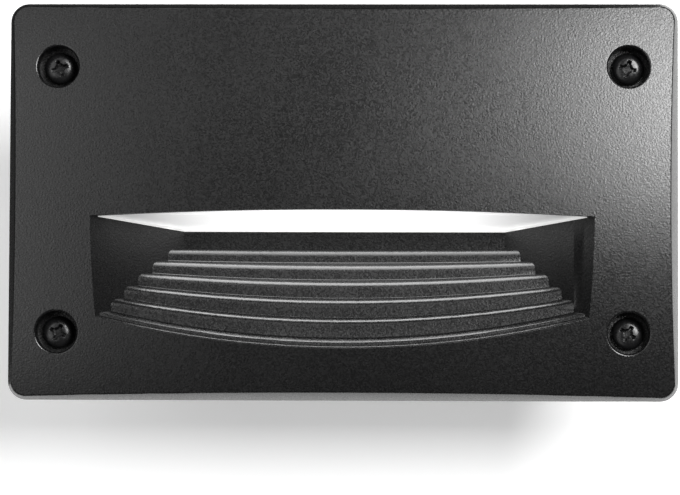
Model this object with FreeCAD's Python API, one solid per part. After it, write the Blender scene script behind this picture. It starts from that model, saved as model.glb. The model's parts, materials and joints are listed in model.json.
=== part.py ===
"""Recessed step light: a domed cast face plate with a stepped scoop, a lit lens as the ceiling
of the scoop, and a housing behind it that is let into the wall.

Origin: centre of the face plate on the wall surface. +X right, +Y into the wall, +Z up.
"""
import FreeCAD, Part
import math
import os

V = FreeCAD.Vector
UP = V(0, 0, 1)
BACK = V(0, 1, 0)
RIGHT = V(1, 0, 0)

# ---- face plate ----
PLATE_W = 235.0             # width on the wall
PLATE_H = 139.7             # height on the wall
PLATE_CORNER_R = 6.5        # corner radius on the wall
PLATE_WALL = 3.0            # thickness of the casting
PLATE_DRAFT = 0.29          # inward lean of the sides per mm forward
CORNER_HEIGHT = 3.5         # height of the sides at a corner
RISE_X = 4.9                # crown from the ends to the middle
RISE_Z = 6.5                # crown from the long edges to the middle
FACE_EDGE_R = 0.8           # round between the face and the sides
CUP_RIM_R = 0.8             # round of the screw cups' rims
SILL_R = 0.7                # round of the scoop's sill at the face

# ---- the four face screws ----
SCREW_EDGE_X = 17.7         # from the screws to the plate's ends
SCREW_EDGE_Z = 23.35        # from the screws to the plate's long edges
SCREW_X = PLATE_W / 2 - SCREW_EDGE_X
SCREW_Z = PLATE_H / 2 - SCREW_EDGE_Z
SCREW_Z_SHIFT = 0.3         # the pattern sits a touch above the plate's centre line
CUP_WALL = 2.3
CUP_FLOOR_Y = 1.5
CUP_FLOOR_T = 2.5
SCREW_R = 2.5
SCREW_L = 16.0
HEAD_R = 5.6
HEAD_GAP = 1.6              # room for a driver's tip round the head
CUP_R = HEAD_R + HEAD_GAP
HEAD_H = 3.1
HEAD_EDGE_R = 1.9
DRIVE_WING = 2.9            # half the width of the cross recess
DRIVE_SLOT = 1.15
DRIVE_DEPTH = 1.9
SCREW_TURNS = (-18.0, 14.0, 24.0, 31.0)
WASHER_R = HEAD_R + 0.2
WASHER_T = 1.2
THREAD_FIT = 0.05           # radial clearance of a screw in its thread
PASS_FIT = 0.4              # radial clearance of a screw in a plain hole
INSERT_WALL = 1.1
INSERT_R = SCREW_R + INSERT_WALL

# ---- back box ----
LUG_R = 9.5
LUG_TOP_GAP = 1.0           # the box stands this much past its lugs
BOX_SCREW_GAP = 10.3        # the screws stand this far outside the box's ends
BOX_W = 2 * (SCREW_X - BOX_SCREW_GAP)
BOX_H = 2 * (SCREW_Z + LUG_R + LUG_TOP_GAP)
BOX_D = 78.0
BOX_WALL = 3.0
BOX_CORNER_R = 8.0
RIM_W = 5.5                 # width of the front rim that carries the gasket
RIM_D = 6.0
BOX_GASKET_T = 1.5
GASKET_INSET = 0.5
RIB_W = 3.0                 # rib of the face plate that presses the gasket
LUG_T = 8.0
LUG_GAP = 0.3               # between the plate's screw cups and the lugs
FIX_EDGE_X = 11.5           # from the rear fixing holes to the box's sides
FIX_EDGE_Z = 12.0
FIX_X = BOX_W / 2 - FIX_EDGE_X
FIX_Z = BOX_H / 2 - FIX_EDGE_Z
FIX_R = 2.6
ENTRY_R = 9.25              # rear conduit entry
ENTRY_BOSS_R = 12.5
ENTRY_X = -(BOX_W / 2 - BOX_WALL - ENTRY_BOSS_R)
ENTRY_L = 11.0

# ---- scoop ----
LIP_SAG = 2.1               # the lip arc's ends lie this much lower
TREADS = 6
SCOOP_DEPTH = 21.9          # back wall of the scoop behind the wall surface
FIRST_TREAD_DEPTH = 6.0     # front to back, top tread
TREAD_DEPTH_STEP = 0.38     # each tread is shorter than the one above by this much
SPLAY = 0.904               # side walls open by this much per mm forward
LENS_MARGIN = 5.0           # the lens overlaps the scoop's rim by this much
LENS_BOX_GAP = 2.0          # between the lens and the box's rim, where the lens passes it
BACK_HALF_W = BOX_W / 2 - RIM_W - LENS_BOX_GAP - LENS_MARGIN - SPLAY * SCOOP_DEPTH
CEILING_BACK_Z = -9.3       # top of the back wall, where the lens starts
LIP_ABOVE = 5.65             # the lip's middle stands this much above that
LIP_Z = CEILING_BACK_Z + LIP_ABOVE
CEILING_SLOPE = 0.1056      # the lens plane climbs by this much per mm forward
BACK_WALL_H = 6.05
FIRST_TREAD_Z = CEILING_BACK_Z - BACK_WALL_H    # top tread, at the side walls
SILL_EDGE = 31.0            # from the last tread's ends down to the plate's long edge
TREAD_RISE = (PLATE_H / 2 + FIRST_TREAD_Z - SILL_EDGE) / (TREADS - 1)
TREAD_FALL = 0.6            # each tread drains forward by this much at the side walls
LAST_SAG = 10.2             # the lowest tread hangs this much in the middle
SAG_POWER = 1.6
SAG_FALL = 1.1              # extra fall of each tread in the middle
SILL_DROP = 1.1             # last small riser, at the face
SCOOP_WALL = 2.8
NOSE_R = 2.6                # rounded tread noses
COVE_R = 0.4                # small coves under the risers

# ---- lens and its clips ----
LENS_T = 4.0
LENS_FRONT_Y = -8.3
LENS_GASKET_T = 1.0
LENS_POCKET_GAP = 0.4
RIM_T = 2.5                 # flange round the top of the scoop
CLIP_X = 48.0
CLIP_ABOVE = 19.3           # the clip's screw above the back of the lens
CLIP_Z = CEILING_BACK_Z + CLIP_ABOVE
CLIP_W = 12.0
CLIP_T = 1.0
CLIP_REACH = 9.0
CLIP_TOP = 6.0              # the clip stands this much above its screw
CLIP_BOSS_R = 4.0
CLIP_BOSS_END_Y = 4.0
CLIP_SCREW_R = 1.5
CLIP_SCREW_L = 9.0
CLIP_TIP_GAP = 1.0          # its hole is this much deeper

# ---- end entries: cable gland and blanking plug ----
HUB_Y = 40.0
HUB_EDGE = 27.0             # from the entries' axis to the top of the box
HUB_Z = BOX_H / 2 - HUB_EDGE
HUB_L = 3.0
GLAND_R = 8.0
GLAND_BORE_R = 5.2
GLAND_FIT = 0.1
GLAND_HEX = 11.5            # corner radius of its hexagons
HUB_R = GLAND_HEX + 2.5
GLAND_IN = 8.0              # thread inside the wall
GLAND_HEX_L = 6.0
GLAND_NECK_R = GLAND_R + 0.2
SEAL_WALL = 1.5
GLAND_NECK_L = 8.0
GLAND_NUT_L = 13.0
LOCKNUT_T = 3.5
SEAL_L = 6.0

# ---- gear tray and what it carries ----
TRAY_GAP_X = 14.5           # between the tray and the box's sides
TRAY_GAP_Z = 4.0
TRAY_W = BOX_W - 2 * (BOX_WALL + TRAY_GAP_X)
TRAY_H = BOX_H - 2 * (BOX_WALL + TRAY_GAP_Z)
TRAY_T = 1.2
STANDOFF_L = 15.8
TRAY_Y = BOX_D - BOX_WALL - STANDOFF_L - TRAY_T     # front face of the tray
TRAY_SCREW_EDGE_X = 6.0
TRAY_SCREW_EDGE_Z = 5.0
TRAY_SCREW_X = TRAY_W / 2 - TRAY_SCREW_EDGE_X
TRAY_SCREW_Z = TRAY_H / 2 - TRAY_SCREW_EDGE_Z
STANDOFF_R = 4.0
GEAR_SCREW_R = 1.9
GEAR_SCREW_L = 9.0
BLOCK_W = 18.0
BLOCK_EDGE = 2.0            # from the terminal block to the tray's end
DRIVER_EAR = 8.0
DRIVER_EDGE_X = 1.0         # from the driver's ear to the tray's other end
DRIVER_EDGE_Z = 10.0
DRIVER_BLOCK_GAP = 7.0
DRIVER_W = TRAY_W - DRIVER_EDGE_X - 2 * DRIVER_EAR - DRIVER_BLOCK_GAP - BLOCK_W - BLOCK_EDGE
REFLECTOR_ABOVE = 10.8      # the reflector's lower edge above the back of the lens
REFLECTOR_BOTTOM_Z = CEILING_BACK_Z + REFLECTOR_ABOVE
DRIVER_TOP_GAP = 5.5        # between the driver and the reflector over it
DRIVER_H = REFLECTOR_BOTTOM_Z - DRIVER_TOP_GAP + TRAY_H / 2 - DRIVER_EDGE_Z
DRIVER_X = DRIVER_EDGE_X + DRIVER_EAR + (DRIVER_W - TRAY_W) / 2
DRIVER_Z = DRIVER_EDGE_Z + (DRIVER_H - TRAY_H) / 2
DRIVER_LID_T = 2.0
DRIVER_LENS_GAP = 7.1       # between the lens and the driver behind it
DRIVER_D = TRAY_Y - DRIVER_LID_T - DRIVER_LENS_GAP - LENS_MARGIN - SCOOP_DEPTH
DRIVER_WALL = 1.6
DRIVER_EAR_T = 2.5
DRIVER_FLOOR_GAP = 0.3
BOARD_T = 1.6
BLOCK_X = TRAY_W / 2 - BLOCK_EDGE - BLOCK_W / 2
BLOCK_Z = DRIVER_Z
BLOCK_SHORTER = 3.0         # the block is this much lower than the driver
BLOCK_POLE = (DRIVER_H - BLOCK_SHORTER) / 3
BLOCK_D = 14.0
BLOCK_SCREW_R = 2.2
BLOCK_SCREW_DEPTH = 3.0
BRACKET_INSET = 6.0         # its ends stand in from the tray's ends
BRACKET_W = TRAY_W - 2 * BRACKET_INSET
BRACKET_T = 3.0
LIGHT_ABOVE = 31.3          # its shelf above the back of the lens
BRACKET_Z = CEILING_BACK_Z + LIGHT_ABOVE
BRACKET_RISE = 17.0
BRACKET_FRONT_Y = 4.0
BRACKET_SCREW_EDGE = 16.0
BRACKET_SCREW_X = BRACKET_W / 2 - BRACKET_SCREW_EDGE
LED_BOARD_TAIL = 8.0        # the board runs on past the reflector's cheek to its plug
LED_BOARD_INSET = 2.0
LED_BOARD_Y = BRACKET_FRONT_Y + LED_BOARD_INSET
LED_BOARD_D = 20.0
LED_COUNT = 4
LED_SIZE = 6.0
LED_T = 1.4
REFLECTOR_INSET = 2.0
REFLECTOR_W = BRACKET_W - 2 * REFLECTOR_INSET
REFLECTOR_T = 1.0
LED_BOARD_CLEAR = 4.0       # from the board's end to the reflector's cheek
LED_PITCH = (REFLECTOR_W - 2 * LED_BOARD_CLEAR) / LED_COUNT
REFLECTOR_TRAY_GAP = 18.0
REFLECTOR_BACK_Y = TRAY_Y - REFLECTOR_TRAY_GAP
SLOT_GAP = 0.4
PLUG_W = 7.0
PLUG_H = 4.0

# ---- wiring ----
WIRE_R = 1.1
WIRE_PITCH = 3.0
LEAD_GAP = 0.3              # between a lead's end and what it goes into
LEAD_STUB = 8.0             # straight run before a lead goes in
EARTH_EDGE = 12.5           # from the earth boss to the box's side
EARTH_X = BOX_W / 2 - EARTH_EDGE
EARTH_Y = 26.0
EARTH_BOSS_R = 6.0
EARTH_BOSS_H = 5.0
EARTH_SCREW_R = 2.0
EARTH_TAG_T = 1.0
EARTH_TAG_R = 4.5
EARTH_TAG_L = 9.0
CRIMP_WALL = 1.0
CRIMP_GAP = 0.5

FAR = BOX_D                 # past every face that a cut goes through
OVERRUN = 3.0               # the scoop's tools stand this far out of the face


# ---------------------------------------------------------------- basic shapes
def rod(radius, start, length, axis=BACK):
    return Part.makeCylinder(radius, length, start, axis)


def block(x0, x1, y0, y1, z0, z1):
    return Part.makeBox(x1 - x0, y1 - y0, z1 - z0, V(x0, y0, z0))


def rounded_outline(width, height, radius, y):
    """Closed outline in the plane y, with rounded corners."""
    a, b = width / 2 - radius, height / 2 - radius
    k = radius * math.sqrt(0.5)
    edges = []
    corners = [(a, b, 1, 1), (-a, b, -1, 1), (-a, -b, -1, -1), (a, -b, 1, -1)]
    for i, (cx, cz, sx, sz) in enumerate(corners):
        side, top = V(cx + sx * radius, y, cz), V(cx, y, cz + sz * radius)
        first, last = (side, top) if i % 2 == 0 else (top, side)
        middle = V(cx + sx * k, y, cz + sz * k)
        edges.append(Part.Arc(first, middle, last).toShape())
        nx, nz, mx, mz = corners[(i + 1) % 4]
        start = V(nx, y, nz + mz * radius) if i % 2 == 0 else V(nx + mx * radius, y, nz)
        edges.append(Part.LineSegment(last, start).toShape())
    return Part.Wire(edges)


def rounded_block(width, height, radius, y0, y1):
    return Part.Face(rounded_outline(width, height, radius, y0)).extrude(V(0, y1 - y0, 0))


def hexagon(corner_r, start, length, axis):
    points = []
    for i in range(7):
        turn = FreeCAD.Rotation(axis, 60.0 * i)
        arm = turn.multVec(UP * corner_r)
        points.append(start + arm)
    return Part.Face(Part.makePolygon(points)).extrude(axis * length)


def pan_screw(seat, axis, radius, length, head_r, head_h):
    """Cross-headed screw whose head sits on the point seat; axis runs from head to tip."""
    head = rod(head_r, seat - axis * head_h, head_h, axis)
    rim = [e for e in head.Edges if abs((e.CenterOfMass - (seat - axis * head_h)).dot(axis)) < 0.01]
    head = head.makeFillet(0.6 * head_h, [e for e in rim if e.Length > head_r])
    body = head.fuse(rod(radius, seat, length, axis))
    wing = 0.52 * head_r
    slot = Part.makeBox(2 * wing, 0.2 * head_r, 0.6 * head_h, V(-wing, -0.1 * head_r, 0))
    cross = slot.fuse(slot.rotated(V(0, 0, 0), UP, 90))
    cross.Placement = FreeCAD.Placement(seat - axis * head_h, FreeCAD.Rotation(UP, axis)).multiply(
        cross.Placement)
    return body.cut(cross)


# ---------------------------------------------------------------- the domed casting
def face_height(x, z):
    """Height of the face above the wall at a point of the plate."""
    return CORNER_HEIGHT + RISE_X * (1 - (2 * x / PLATE_W) ** 2) + RISE_Z * (1 - (2 * z / PLATE_H) ** 2)


def crown(inset):
    """Solid behind the domed face, as deep as any cut needs."""
    half = PLATE_H / 2
    turn_r = ((PLATE_W / 2) ** 2 + RISE_X ** 2) / (2 * RISE_X)
    top = -(CORNER_HEIGHT + RISE_X + RISE_Z - inset)
    edge = top + RISE_Z
    arc = Part.Arc(V(0, edge, -half), V(0, top, 0), V(0, edge, half)).toShape()
    sides = Part.makePolygon([V(0, edge, half), V(0, FAR, half), V(0, FAR, -half), V(0, edge, -half)])
    face = Part.Face(Part.Wire([arc] + sides.Edges))
    centre = V(0, top + turn_r, 0)
    sweep = 2 * math.degrees(math.asin(PLATE_W / 2 / turn_r)) + 1.0
    face.rotate(centre, UP, -sweep / 2)
    return face.revolve(centre, UP, sweep)


def drafted_block(inset):
    """The plate's outline on the wall, leaning inward towards the front."""
    reach = 2 * (CORNER_HEIGHT + RISE_X)
    lean = PLATE_DRAFT * reach
    w, h, r = PLATE_W - 2 * inset, PLATE_H - 2 * inset, PLATE_CORNER_R - inset
    back = rounded_outline(w, h, r, 0)
    front = rounded_outline(w - 2 * lean, h - 2 * lean, max(r - lean, 0.15 * r), -reach)
    return Part.makeLoft([back, front], True, True)


def plate_blank(inset):
    return drafted_block(inset).common(crown(inset))


def face_edges(shape):
    """Edges between the domed face and the sides."""
    found = []
    for edge in shape.Edges:
        x, y, z = edge.CenterOfMass
        if y < -0.5 * CORNER_HEIGHT and edge.BoundBox.YMax < -1.0 and edge.Length > 3.0:
            found.append(edge)
        elif y < -0.9 * CORNER_HEIGHT and abs(x) > PLATE_W * 0.45 and abs(z) > PLATE_H * 0.4:
            if edge.BoundBox.YLength < 1.0:
                found.append(edge)
    return found


# ---------------------------------------------------------------- the stepped scoop
def riser_y(k):
    """Where riser k stands; riser 0 is the back wall."""
    return SCOOP_DEPTH - sum(FIRST_TREAD_DEPTH - TREAD_DEPTH_STEP * i for i in range(k))


def half_width(y):
    return BACK_HALF_W + SPLAY * (SCOOP_DEPTH - y)


def ceiling_z(y):
    return CEILING_BACK_Z + CEILING_SLOPE * (SCOOP_DEPTH - y)


def scoop_section(y, floor_z, sag, grow, shift):
    """Outline across the scoop: flat top on the lens plane, splayed sides, hanging floor."""
    half = half_width(y) + grow * (math.sqrt(1 + SPLAY ** 2) - SPLAY)
    y = y + shift
    top, low = ceiling_z(y), floor_z - grow
    arc = Part.Arc(V(-half, y, low), V(0, y, low - sag), V(half, y, low)).toShape()
    rest = Part.makePolygon([V(half, y, low), V(half, y, top), V(-half, y, top), V(-half, y, low)])
    return Part.Wire([arc] + rest.Edges)


def sag_at(k):
    return LAST_SAG * (k / TREADS) ** SAG_POWER


def tread_space(k, grow):
    """Room above tread k, from its riser to its nose."""
    back_z = FIRST_TREAD_Z - TREAD_RISE * (k - 1)
    back_sag = max(sag_at(k) - SAG_FALL, 0.1 * sag_at(k))
    back = scoop_section(riser_y(k - 1), back_z, back_sag, grow, grow)
    front = scoop_section(riser_y(k), back_z - TREAD_FALL, sag_at(k), grow, grow)
    return Part.makeLoft([back, front], True, True)


def sill_space(grow):
    """Room above the sill, from the last nose out through the face."""
    nose_y, out_y = riser_y(TREADS), -(CORNER_HEIGHT + RISE_X + RISE_Z + OVERRUN)
    z = FIRST_TREAD_Z - TREAD_RISE * (TREADS - 1) - TREAD_FALL - SILL_DROP
    fall = TREAD_FALL / FIRST_TREAD_DEPTH * (nose_y - out_y)
    back = scoop_section(nose_y, z, LAST_SAG, grow, grow)
    front = scoop_section(out_y, z - fall, LAST_SAG + SAG_FALL, grow, grow)
    return Part.makeLoft([back, front], True, True)


def scoop_solid(grow):
    solid = sill_space(grow)
    for k in range(1, TREADS + 1):
        solid = solid.fuse(tread_space(k, grow))
    return solid.removeSplitter()


def riser_edges(shape, risers):
    """Long arcs at the given risers: the noses over them and the coves under them."""
    found = []
    for edge in shape.Edges:
        box = edge.BoundBox
        on_riser = any(abs(box.YMin - riser_y(k)) < 0.01 for k in risers)
        if on_riser and box.YLength < 0.01 and box.XLength > BACK_HALF_W and box.ZMax < CEILING_BACK_Z - 1:
            found.append(edge)
    return found


def nose_edges(shape, risers):
    """The noses alone, which lie where each tread ends."""
    noses = []
    for k in risers:
        nose_z = FIRST_TREAD_Z - TREAD_RISE * (k - 1) - TREAD_FALL
        noses += [e for e in riser_edges(shape, [k]) if abs(e.BoundBox.ZMax - nose_z) < 0.05]
    return noses


def cove_edges(shape, risers):
    """The coves alone, which lie where each next tread starts."""
    coves = []
    for k in risers:
        cove_z = FIRST_TREAD_Z - TREAD_RISE * k
        coves += [e for e in riser_edges(shape, [k]) if abs(e.BoundBox.ZMax - cove_z) < 0.05]
    return coves


def lip_section(y):
    """Outline across the mouth of the scoop, from the lens plane up to the arched lip."""
    half, low, base = half_width(y), LIP_Z - LIP_SAG, ceiling_z(y) - LIP_SAG
    arc = Part.Arc(V(-half, y, low), V(0, y, LIP_Z), V(half, y, low)).toShape()
    rest = Part.makePolygon([V(half, y, low), V(half, y, base), V(-half, y, base), V(-half, y, low)])
    return Part.Wire([arc] + rest.Edges)


def lip_cut():
    front_y = -(CORNER_HEIGHT + RISE_X + RISE_Z + OVERRUN)
    return Part.makeLoft([lip_section(LENS_FRONT_Y), lip_section(front_y)], True, True)


# ---------------------------------------------------------------- pieces on the lens plane
def on_lens_plane(shape):
    """Takes a piece drawn flat, with y = 0 at the scoop's back wall, to the lens plane."""
    shape.rotate(V(0, 0, 0), RIGHT, -math.degrees(math.atan(CEILING_SLOPE)))
    shape.translate(V(0, SCOOP_DEPTH, CEILING_BACK_Z))
    return shape


def wedge(margin, front_y, back_margin, z0, z1):
    """Flat wedge with the scoop's plan, grown sideways and to the back."""
    stretch = math.sqrt(1 + CEILING_SLOPE ** 2)
    y0, y1 = front_y, SCOOP_DEPTH + back_margin
    corners = []
    for y, side in ((y0, -1), (y1, -1), (y1, 1), (y0, 1), (y0, -1)):
        corners.append(V(side * (half_width(y) + margin), (y - SCOOP_DEPTH) * stretch, z0))
    return Part.Face(Part.makePolygon(corners)).extrude(V(0, 0, z1 - z0))


def lens():
    base = LENS_GASKET_T
    return on_lens_plane(wedge(LENS_MARGIN, LENS_FRONT_Y, LENS_MARGIN, base, base + LENS_T))


def lens_gasket():
    ring = wedge(LENS_MARGIN, LENS_FRONT_Y, LENS_MARGIN, 0, LENS_GASKET_T)
    hole = wedge(GASKET_INSET, LENS_FRONT_Y - 1, GASKET_INSET, -1, LENS_GASKET_T + 1)
    return on_lens_plane(ring.cut(hole))


def lens_pocket():
    gap = LENS_POCKET_GAP
    return on_lens_plane(wedge(LENS_MARGIN + gap, LENS_FRONT_Y - gap, LENS_MARGIN + gap, 0,
                               LENS_GASKET_T + LENS_T + gap))


def clip_foot_z(y):
    """Top of the lens at a depth y."""
    stretch = math.sqrt(1 + CEILING_SLOPE ** 2)
    return ceiling_z(y) + (LENS_GASKET_T + LENS_T) * stretch


def lens_clip(side):
    """Bent strip: its leg is screwed to a boss, its foot lies on the lens."""
    x0, x1 = side * CLIP_X - CLIP_W / 2, side * CLIP_X + CLIP_W / 2
    y0, y1 = CLIP_BOSS_END_Y, CLIP_BOSS_END_Y + CLIP_REACH
    points = [V(x0, y0, clip_foot_z(y0)), V(x0, y1, clip_foot_z(y1))]
    points.append(V(x0, y1, clip_foot_z(y1) + CLIP_T))
    points.append(V(x0, y0 + CLIP_T, clip_foot_z(y0 + CLIP_T) + CLIP_T))
    points.append(V(x0, y0 + CLIP_T, CLIP_Z + CLIP_TOP))
    points.append(V(x0, y0, CLIP_Z + CLIP_TOP))
    strip = Part.Face(Part.makePolygon(points + points[:1])).extrude(V(x1 - x0, 0, 0))
    return strip.cut(rod(CLIP_SCREW_R + THREAD_FIT, V(side * CLIP_X, y0 - 1, CLIP_Z), CLIP_T + 2))


def clip_screw(side):
    seat = V(side * CLIP_X, CLIP_BOSS_END_Y + CLIP_T, CLIP_Z)
    return pan_screw(seat, -BACK, CLIP_SCREW_R, CLIP_SCREW_L, 1.9 * CLIP_SCREW_R, 1.3 * CLIP_SCREW_R)


# ---------------------------------------------------------------- face plate
def screw_places():
    places = []
    for sx, sz in ((-1, 1), (1, 1), (-1, -1), (1, -1)):
        places.append((sx * SCREW_X, sz * SCREW_Z + SCREW_Z_SHIFT))
    return places


def gasket_rib():
    """Rib behind the face that presses the box gasket."""
    w, h, r = BOX_W - 2 * GASKET_INSET, BOX_H - 2 * GASKET_INSET, BOX_CORNER_R - GASKET_INSET
    deep = -(CORNER_HEIGHT + RISE_X + RISE_Z)
    outer = rounded_block(w, h, r, deep, -BOX_GASKET_T)
    inner = rounded_block(w - 2 * RIB_W, h - 2 * RIB_W, r - RIB_W, deep - 1, 0)
    return outer.cut(inner)


def on_face(edge):
    """True if the whole edge lies on the domed face."""
    span = edge.LastParameter - edge.FirstParameter
    points = [edge.valueAt(edge.FirstParameter + span * step / 4) for step in range(5)]
    return all(abs(p.y + face_height(p.x, p.z)) < 0.05 * PLATE_WALL for p in points)


def cup_rims(shape):
    reach = CUP_R + FACE_EDGE_R
    rims = []
    for edge in shape.Edges:
        box = edge.BoundBox
        inside = any(x - reach < box.XMin and box.XMax < x + reach and z - reach < box.ZMin
                     and box.ZMax < z + reach for x, z in screw_places())
        if inside and on_face(edge):
            rims.append(edge)
    return rims


def sill_rim(shape):
    low = FIRST_TREAD_Z - TREAD_RISE * (TREADS - 1)
    rims = [e for e in shape.Edges if e.BoundBox.ZMax < low and e.BoundBox.XLength > BACK_HALF_W]
    return [e for e in rims if e.BoundBox.XMax < SCREW_X and on_face(e)]


def face_plate():
    shell = plate_blank(0)
    shell = shell.makeFillet(FACE_EDGE_R, face_edges(shell))
    shell = shell.cut(plate_blank(PLATE_WALL))
    body = crown(PLATE_WALL / 2)
    extras = [scoop_solid(SCOOP_WALL), gasket_rib()]
    rim = wedge(LENS_MARGIN, LENS_FRONT_Y - PLATE_WALL, LENS_MARGIN, -RIM_T, 0)
    extras.append(on_lens_plane(rim))
    floor_back = CUP_FLOOR_Y + CUP_FLOOR_T
    for x, z in screw_places():
        extras.append(rod(CUP_R + CUP_WALL, V(x, -FAR, z), FAR + floor_back))
    for side in (-1, 1):
        extras.append(rod(CLIP_BOSS_R, V(side * CLIP_X, -FAR, CLIP_Z), FAR + CLIP_BOSS_END_Y))
    for extra in extras:
        shell = shell.fuse(extra.common(body))
    cavity = scoop_solid(0)
    cavity = cavity.makeFillet(NOSE_R, nose_edges(cavity, range(1, TREADS)))
    cavity = cavity.makeFillet(COVE_R, cove_edges(cavity, range(1, TREADS)))
    cavity = cavity.makeFillet(0.4 * SILL_DROP, riser_edges(cavity, [TREADS]))
    cuts = [cavity, lip_cut(), lens_pocket()]
    for x, z in screw_places():
        cuts.append(rod(CUP_R, V(x, -FAR, z), FAR + CUP_FLOOR_Y))
        cuts.append(rod(SCREW_R + PASS_FIT, V(x, 0, z), FAR))
    for side in (-1, 1):
        tip_y = CLIP_BOSS_END_Y + CLIP_T - CLIP_SCREW_L - CLIP_TIP_GAP
        start = V(side * CLIP_X, tip_y, CLIP_Z)
        cuts.append(rod(CLIP_SCREW_R + THREAD_FIT, start, FAR))
    for cut in cuts:
        shell = shell.cut(cut)
    shell = shell.removeSplitter()
    shell = shell.makeFillet(CUP_RIM_R, cup_rims(shell))
    return shell.makeFillet(SILL_R, sill_rim(shell))


# ---------------------------------------------------------------- face screws
def face_screw(x, z, turn):
    seat_y = CUP_FLOOR_Y - WASHER_T
    head = rod(HEAD_R, V(x, seat_y - HEAD_H, z), HEAD_H)
    rim = [e for e in head.Edges if abs(e.CenterOfMass.y - (seat_y - HEAD_H)) < 0.01]
    head = head.makeFillet(HEAD_EDGE_R, rim)
    screw = head.fuse(rod(SCREW_R, V(x, seat_y, z), SCREW_L))
    top = V(x, seat_y - HEAD_H, z)
    wing = block(-DRIVE_WING, DRIVE_WING, 0, DRIVE_DEPTH, -DRIVE_SLOT / 2, DRIVE_SLOT / 2)
    cone = Part.makeCone(DRIVE_WING * 0.6, DRIVE_SLOT / 2, DRIVE_DEPTH * 1.4, V(0, 0, 0), BACK)
    cross = wing.fuse(wing.rotated(V(0, 0, 0), BACK, 90)).fuse(cone)
    cross.rotate(V(0, 0, 0), BACK, turn)
    cross.translate(top)
    return screw.cut(cross)


def seal_washer(x, z):
    start = V(x, CUP_FLOOR_Y - WASHER_T, z)
    return rod(WASHER_R, start, WASHER_T).cut(rod(SCREW_R + THREAD_FIT, start - BACK, WASHER_T + 2))


def lug_front():
    return CUP_FLOOR_Y + CUP_FLOOR_T + LUG_GAP


def thread_insert(x, z):
    start = V(x, lug_front(), z)
    return rod(INSERT_R, start, LUG_T).cut(rod(SCREW_R + THREAD_FIT, start - BACK, LUG_T + 2))


# ---------------------------------------------------------------- back box
def box_lug(x, z):
    y0 = lug_front()
    inner = math.copysign(BOX_W / 2 - BOX_WALL / 2, x)
    bar = block(min(inner, x), max(inner, x), y0, y0 + LUG_T, z - LUG_R, z + LUG_R)
    lug = bar.fuse(rod(LUG_R, V(x, y0, z), LUG_T))
    return lug.cut(rod(INSERT_R, V(x, y0 - 1, z), LUG_T + 2))


def back_box():
    w, h, r = BOX_W, BOX_H, BOX_CORNER_R
    rim_w, wall = RIM_W, BOX_WALL
    box = rounded_block(w, h, r, 0, BOX_D)
    box = box.cut(rounded_block(w - 2 * rim_w, h - 2 * rim_w, r - rim_w, -1, RIM_D))
    box = box.cut(rounded_block(w - 2 * wall, h - 2 * wall, r - wall, RIM_D, BOX_D - wall))
    inner_back = BOX_D - wall
    for x, z in screw_places():
        box = box.fuse(box_lug(x, z))
    tray_back = TRAY_Y + TRAY_T
    for x, z in tray_screw_places():
        box = box.fuse(rod(STANDOFF_R, V(x, tray_back, z), inner_back - tray_back + wall / 2))
        depth = GEAR_SCREW_L + 1.0
        box = box.cut(rod(GEAR_SCREW_R + THREAD_FIT, V(x, tray_back - 1, z), depth))
    box = box.fuse(rod(ENTRY_BOSS_R, V(ENTRY_X, BOX_D - ENTRY_L, 0), ENTRY_L))
    box = box.cut(rod(ENTRY_R, V(ENTRY_X, BOX_D - ENTRY_L - 1, 0), ENTRY_L + 2))
    for side in (-1, 1):
        axis = RIGHT * side
        start = V(side * (w / 2 - wall / 2), HUB_Y, HUB_Z)
        box = box.fuse(rod(HUB_R, start, wall / 2 + HUB_L, axis))
        box = box.cut(rod(GLAND_R + GLAND_FIT, start - axis * wall, 3 * wall + HUB_L, axis))
    for x in (-FIX_X, FIX_X):
        for z in (-FIX_Z, FIX_Z):
            box = box.cut(rod(FIX_R, V(x, BOX_D - wall - 1, z), wall + 2))
    floor = -(h / 2 - wall)
    boss = rod(EARTH_BOSS_R, V(EARTH_X, EARTH_Y, floor - wall / 2), wall / 2 + EARTH_BOSS_H, UP)
    pilot = rod(EARTH_SCREW_R + THREAD_FIT, V(EARTH_X, EARTH_Y, floor - 0.5), 2 * EARTH_BOSS_H, UP)
    return box.fuse(boss).cut(pilot).removeSplitter()


def box_gasket():
    w, h, r = BOX_W - 2 * GASKET_INSET, BOX_H - 2 * GASKET_INSET, BOX_CORNER_R - GASKET_INSET
    width = RIM_W - 2 * GASKET_INSET
    ring = rounded_block(w, h, r, -BOX_GASKET_T, 0)
    return ring.cut(rounded_block(w - 2 * width, h - 2 * width, r - width, -BOX_GASKET_T - 1, 1))


# ---------------------------------------------------------------- gear tray
def tray_screw_places():
    return [(sx * TRAY_SCREW_X, sz * TRAY_SCREW_Z) for sx in (-1, 1) for sz in (-1, 1)]


def gear_tray():
    w, h = TRAY_W / 2, TRAY_H / 2
    tray = block(-w, w, TRAY_Y, TRAY_Y + TRAY_T, -h, h)
    for x, z in tray_screw_places() + driver_ears() + bracket_screw_places():
        tray = tray.cut(rod(GEAR_SCREW_R + PASS_FIT / 2, V(x, TRAY_Y - 1, z), TRAY_T + 2))
    return tray


def gear_screw(x, z, seat_y, length):
    return pan_screw(V(x, seat_y, z), BACK, GEAR_SCREW_R, length, 2 * GEAR_SCREW_R, 1.3 * GEAR_SCREW_R)


# ---------------------------------------------------------------- driver
def driver_ears():
    reach = DRIVER_W / 2 + DRIVER_EAR / 2
    return [(DRIVER_X - reach, DRIVER_Z), (DRIVER_X + reach, DRIVER_Z)]


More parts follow.
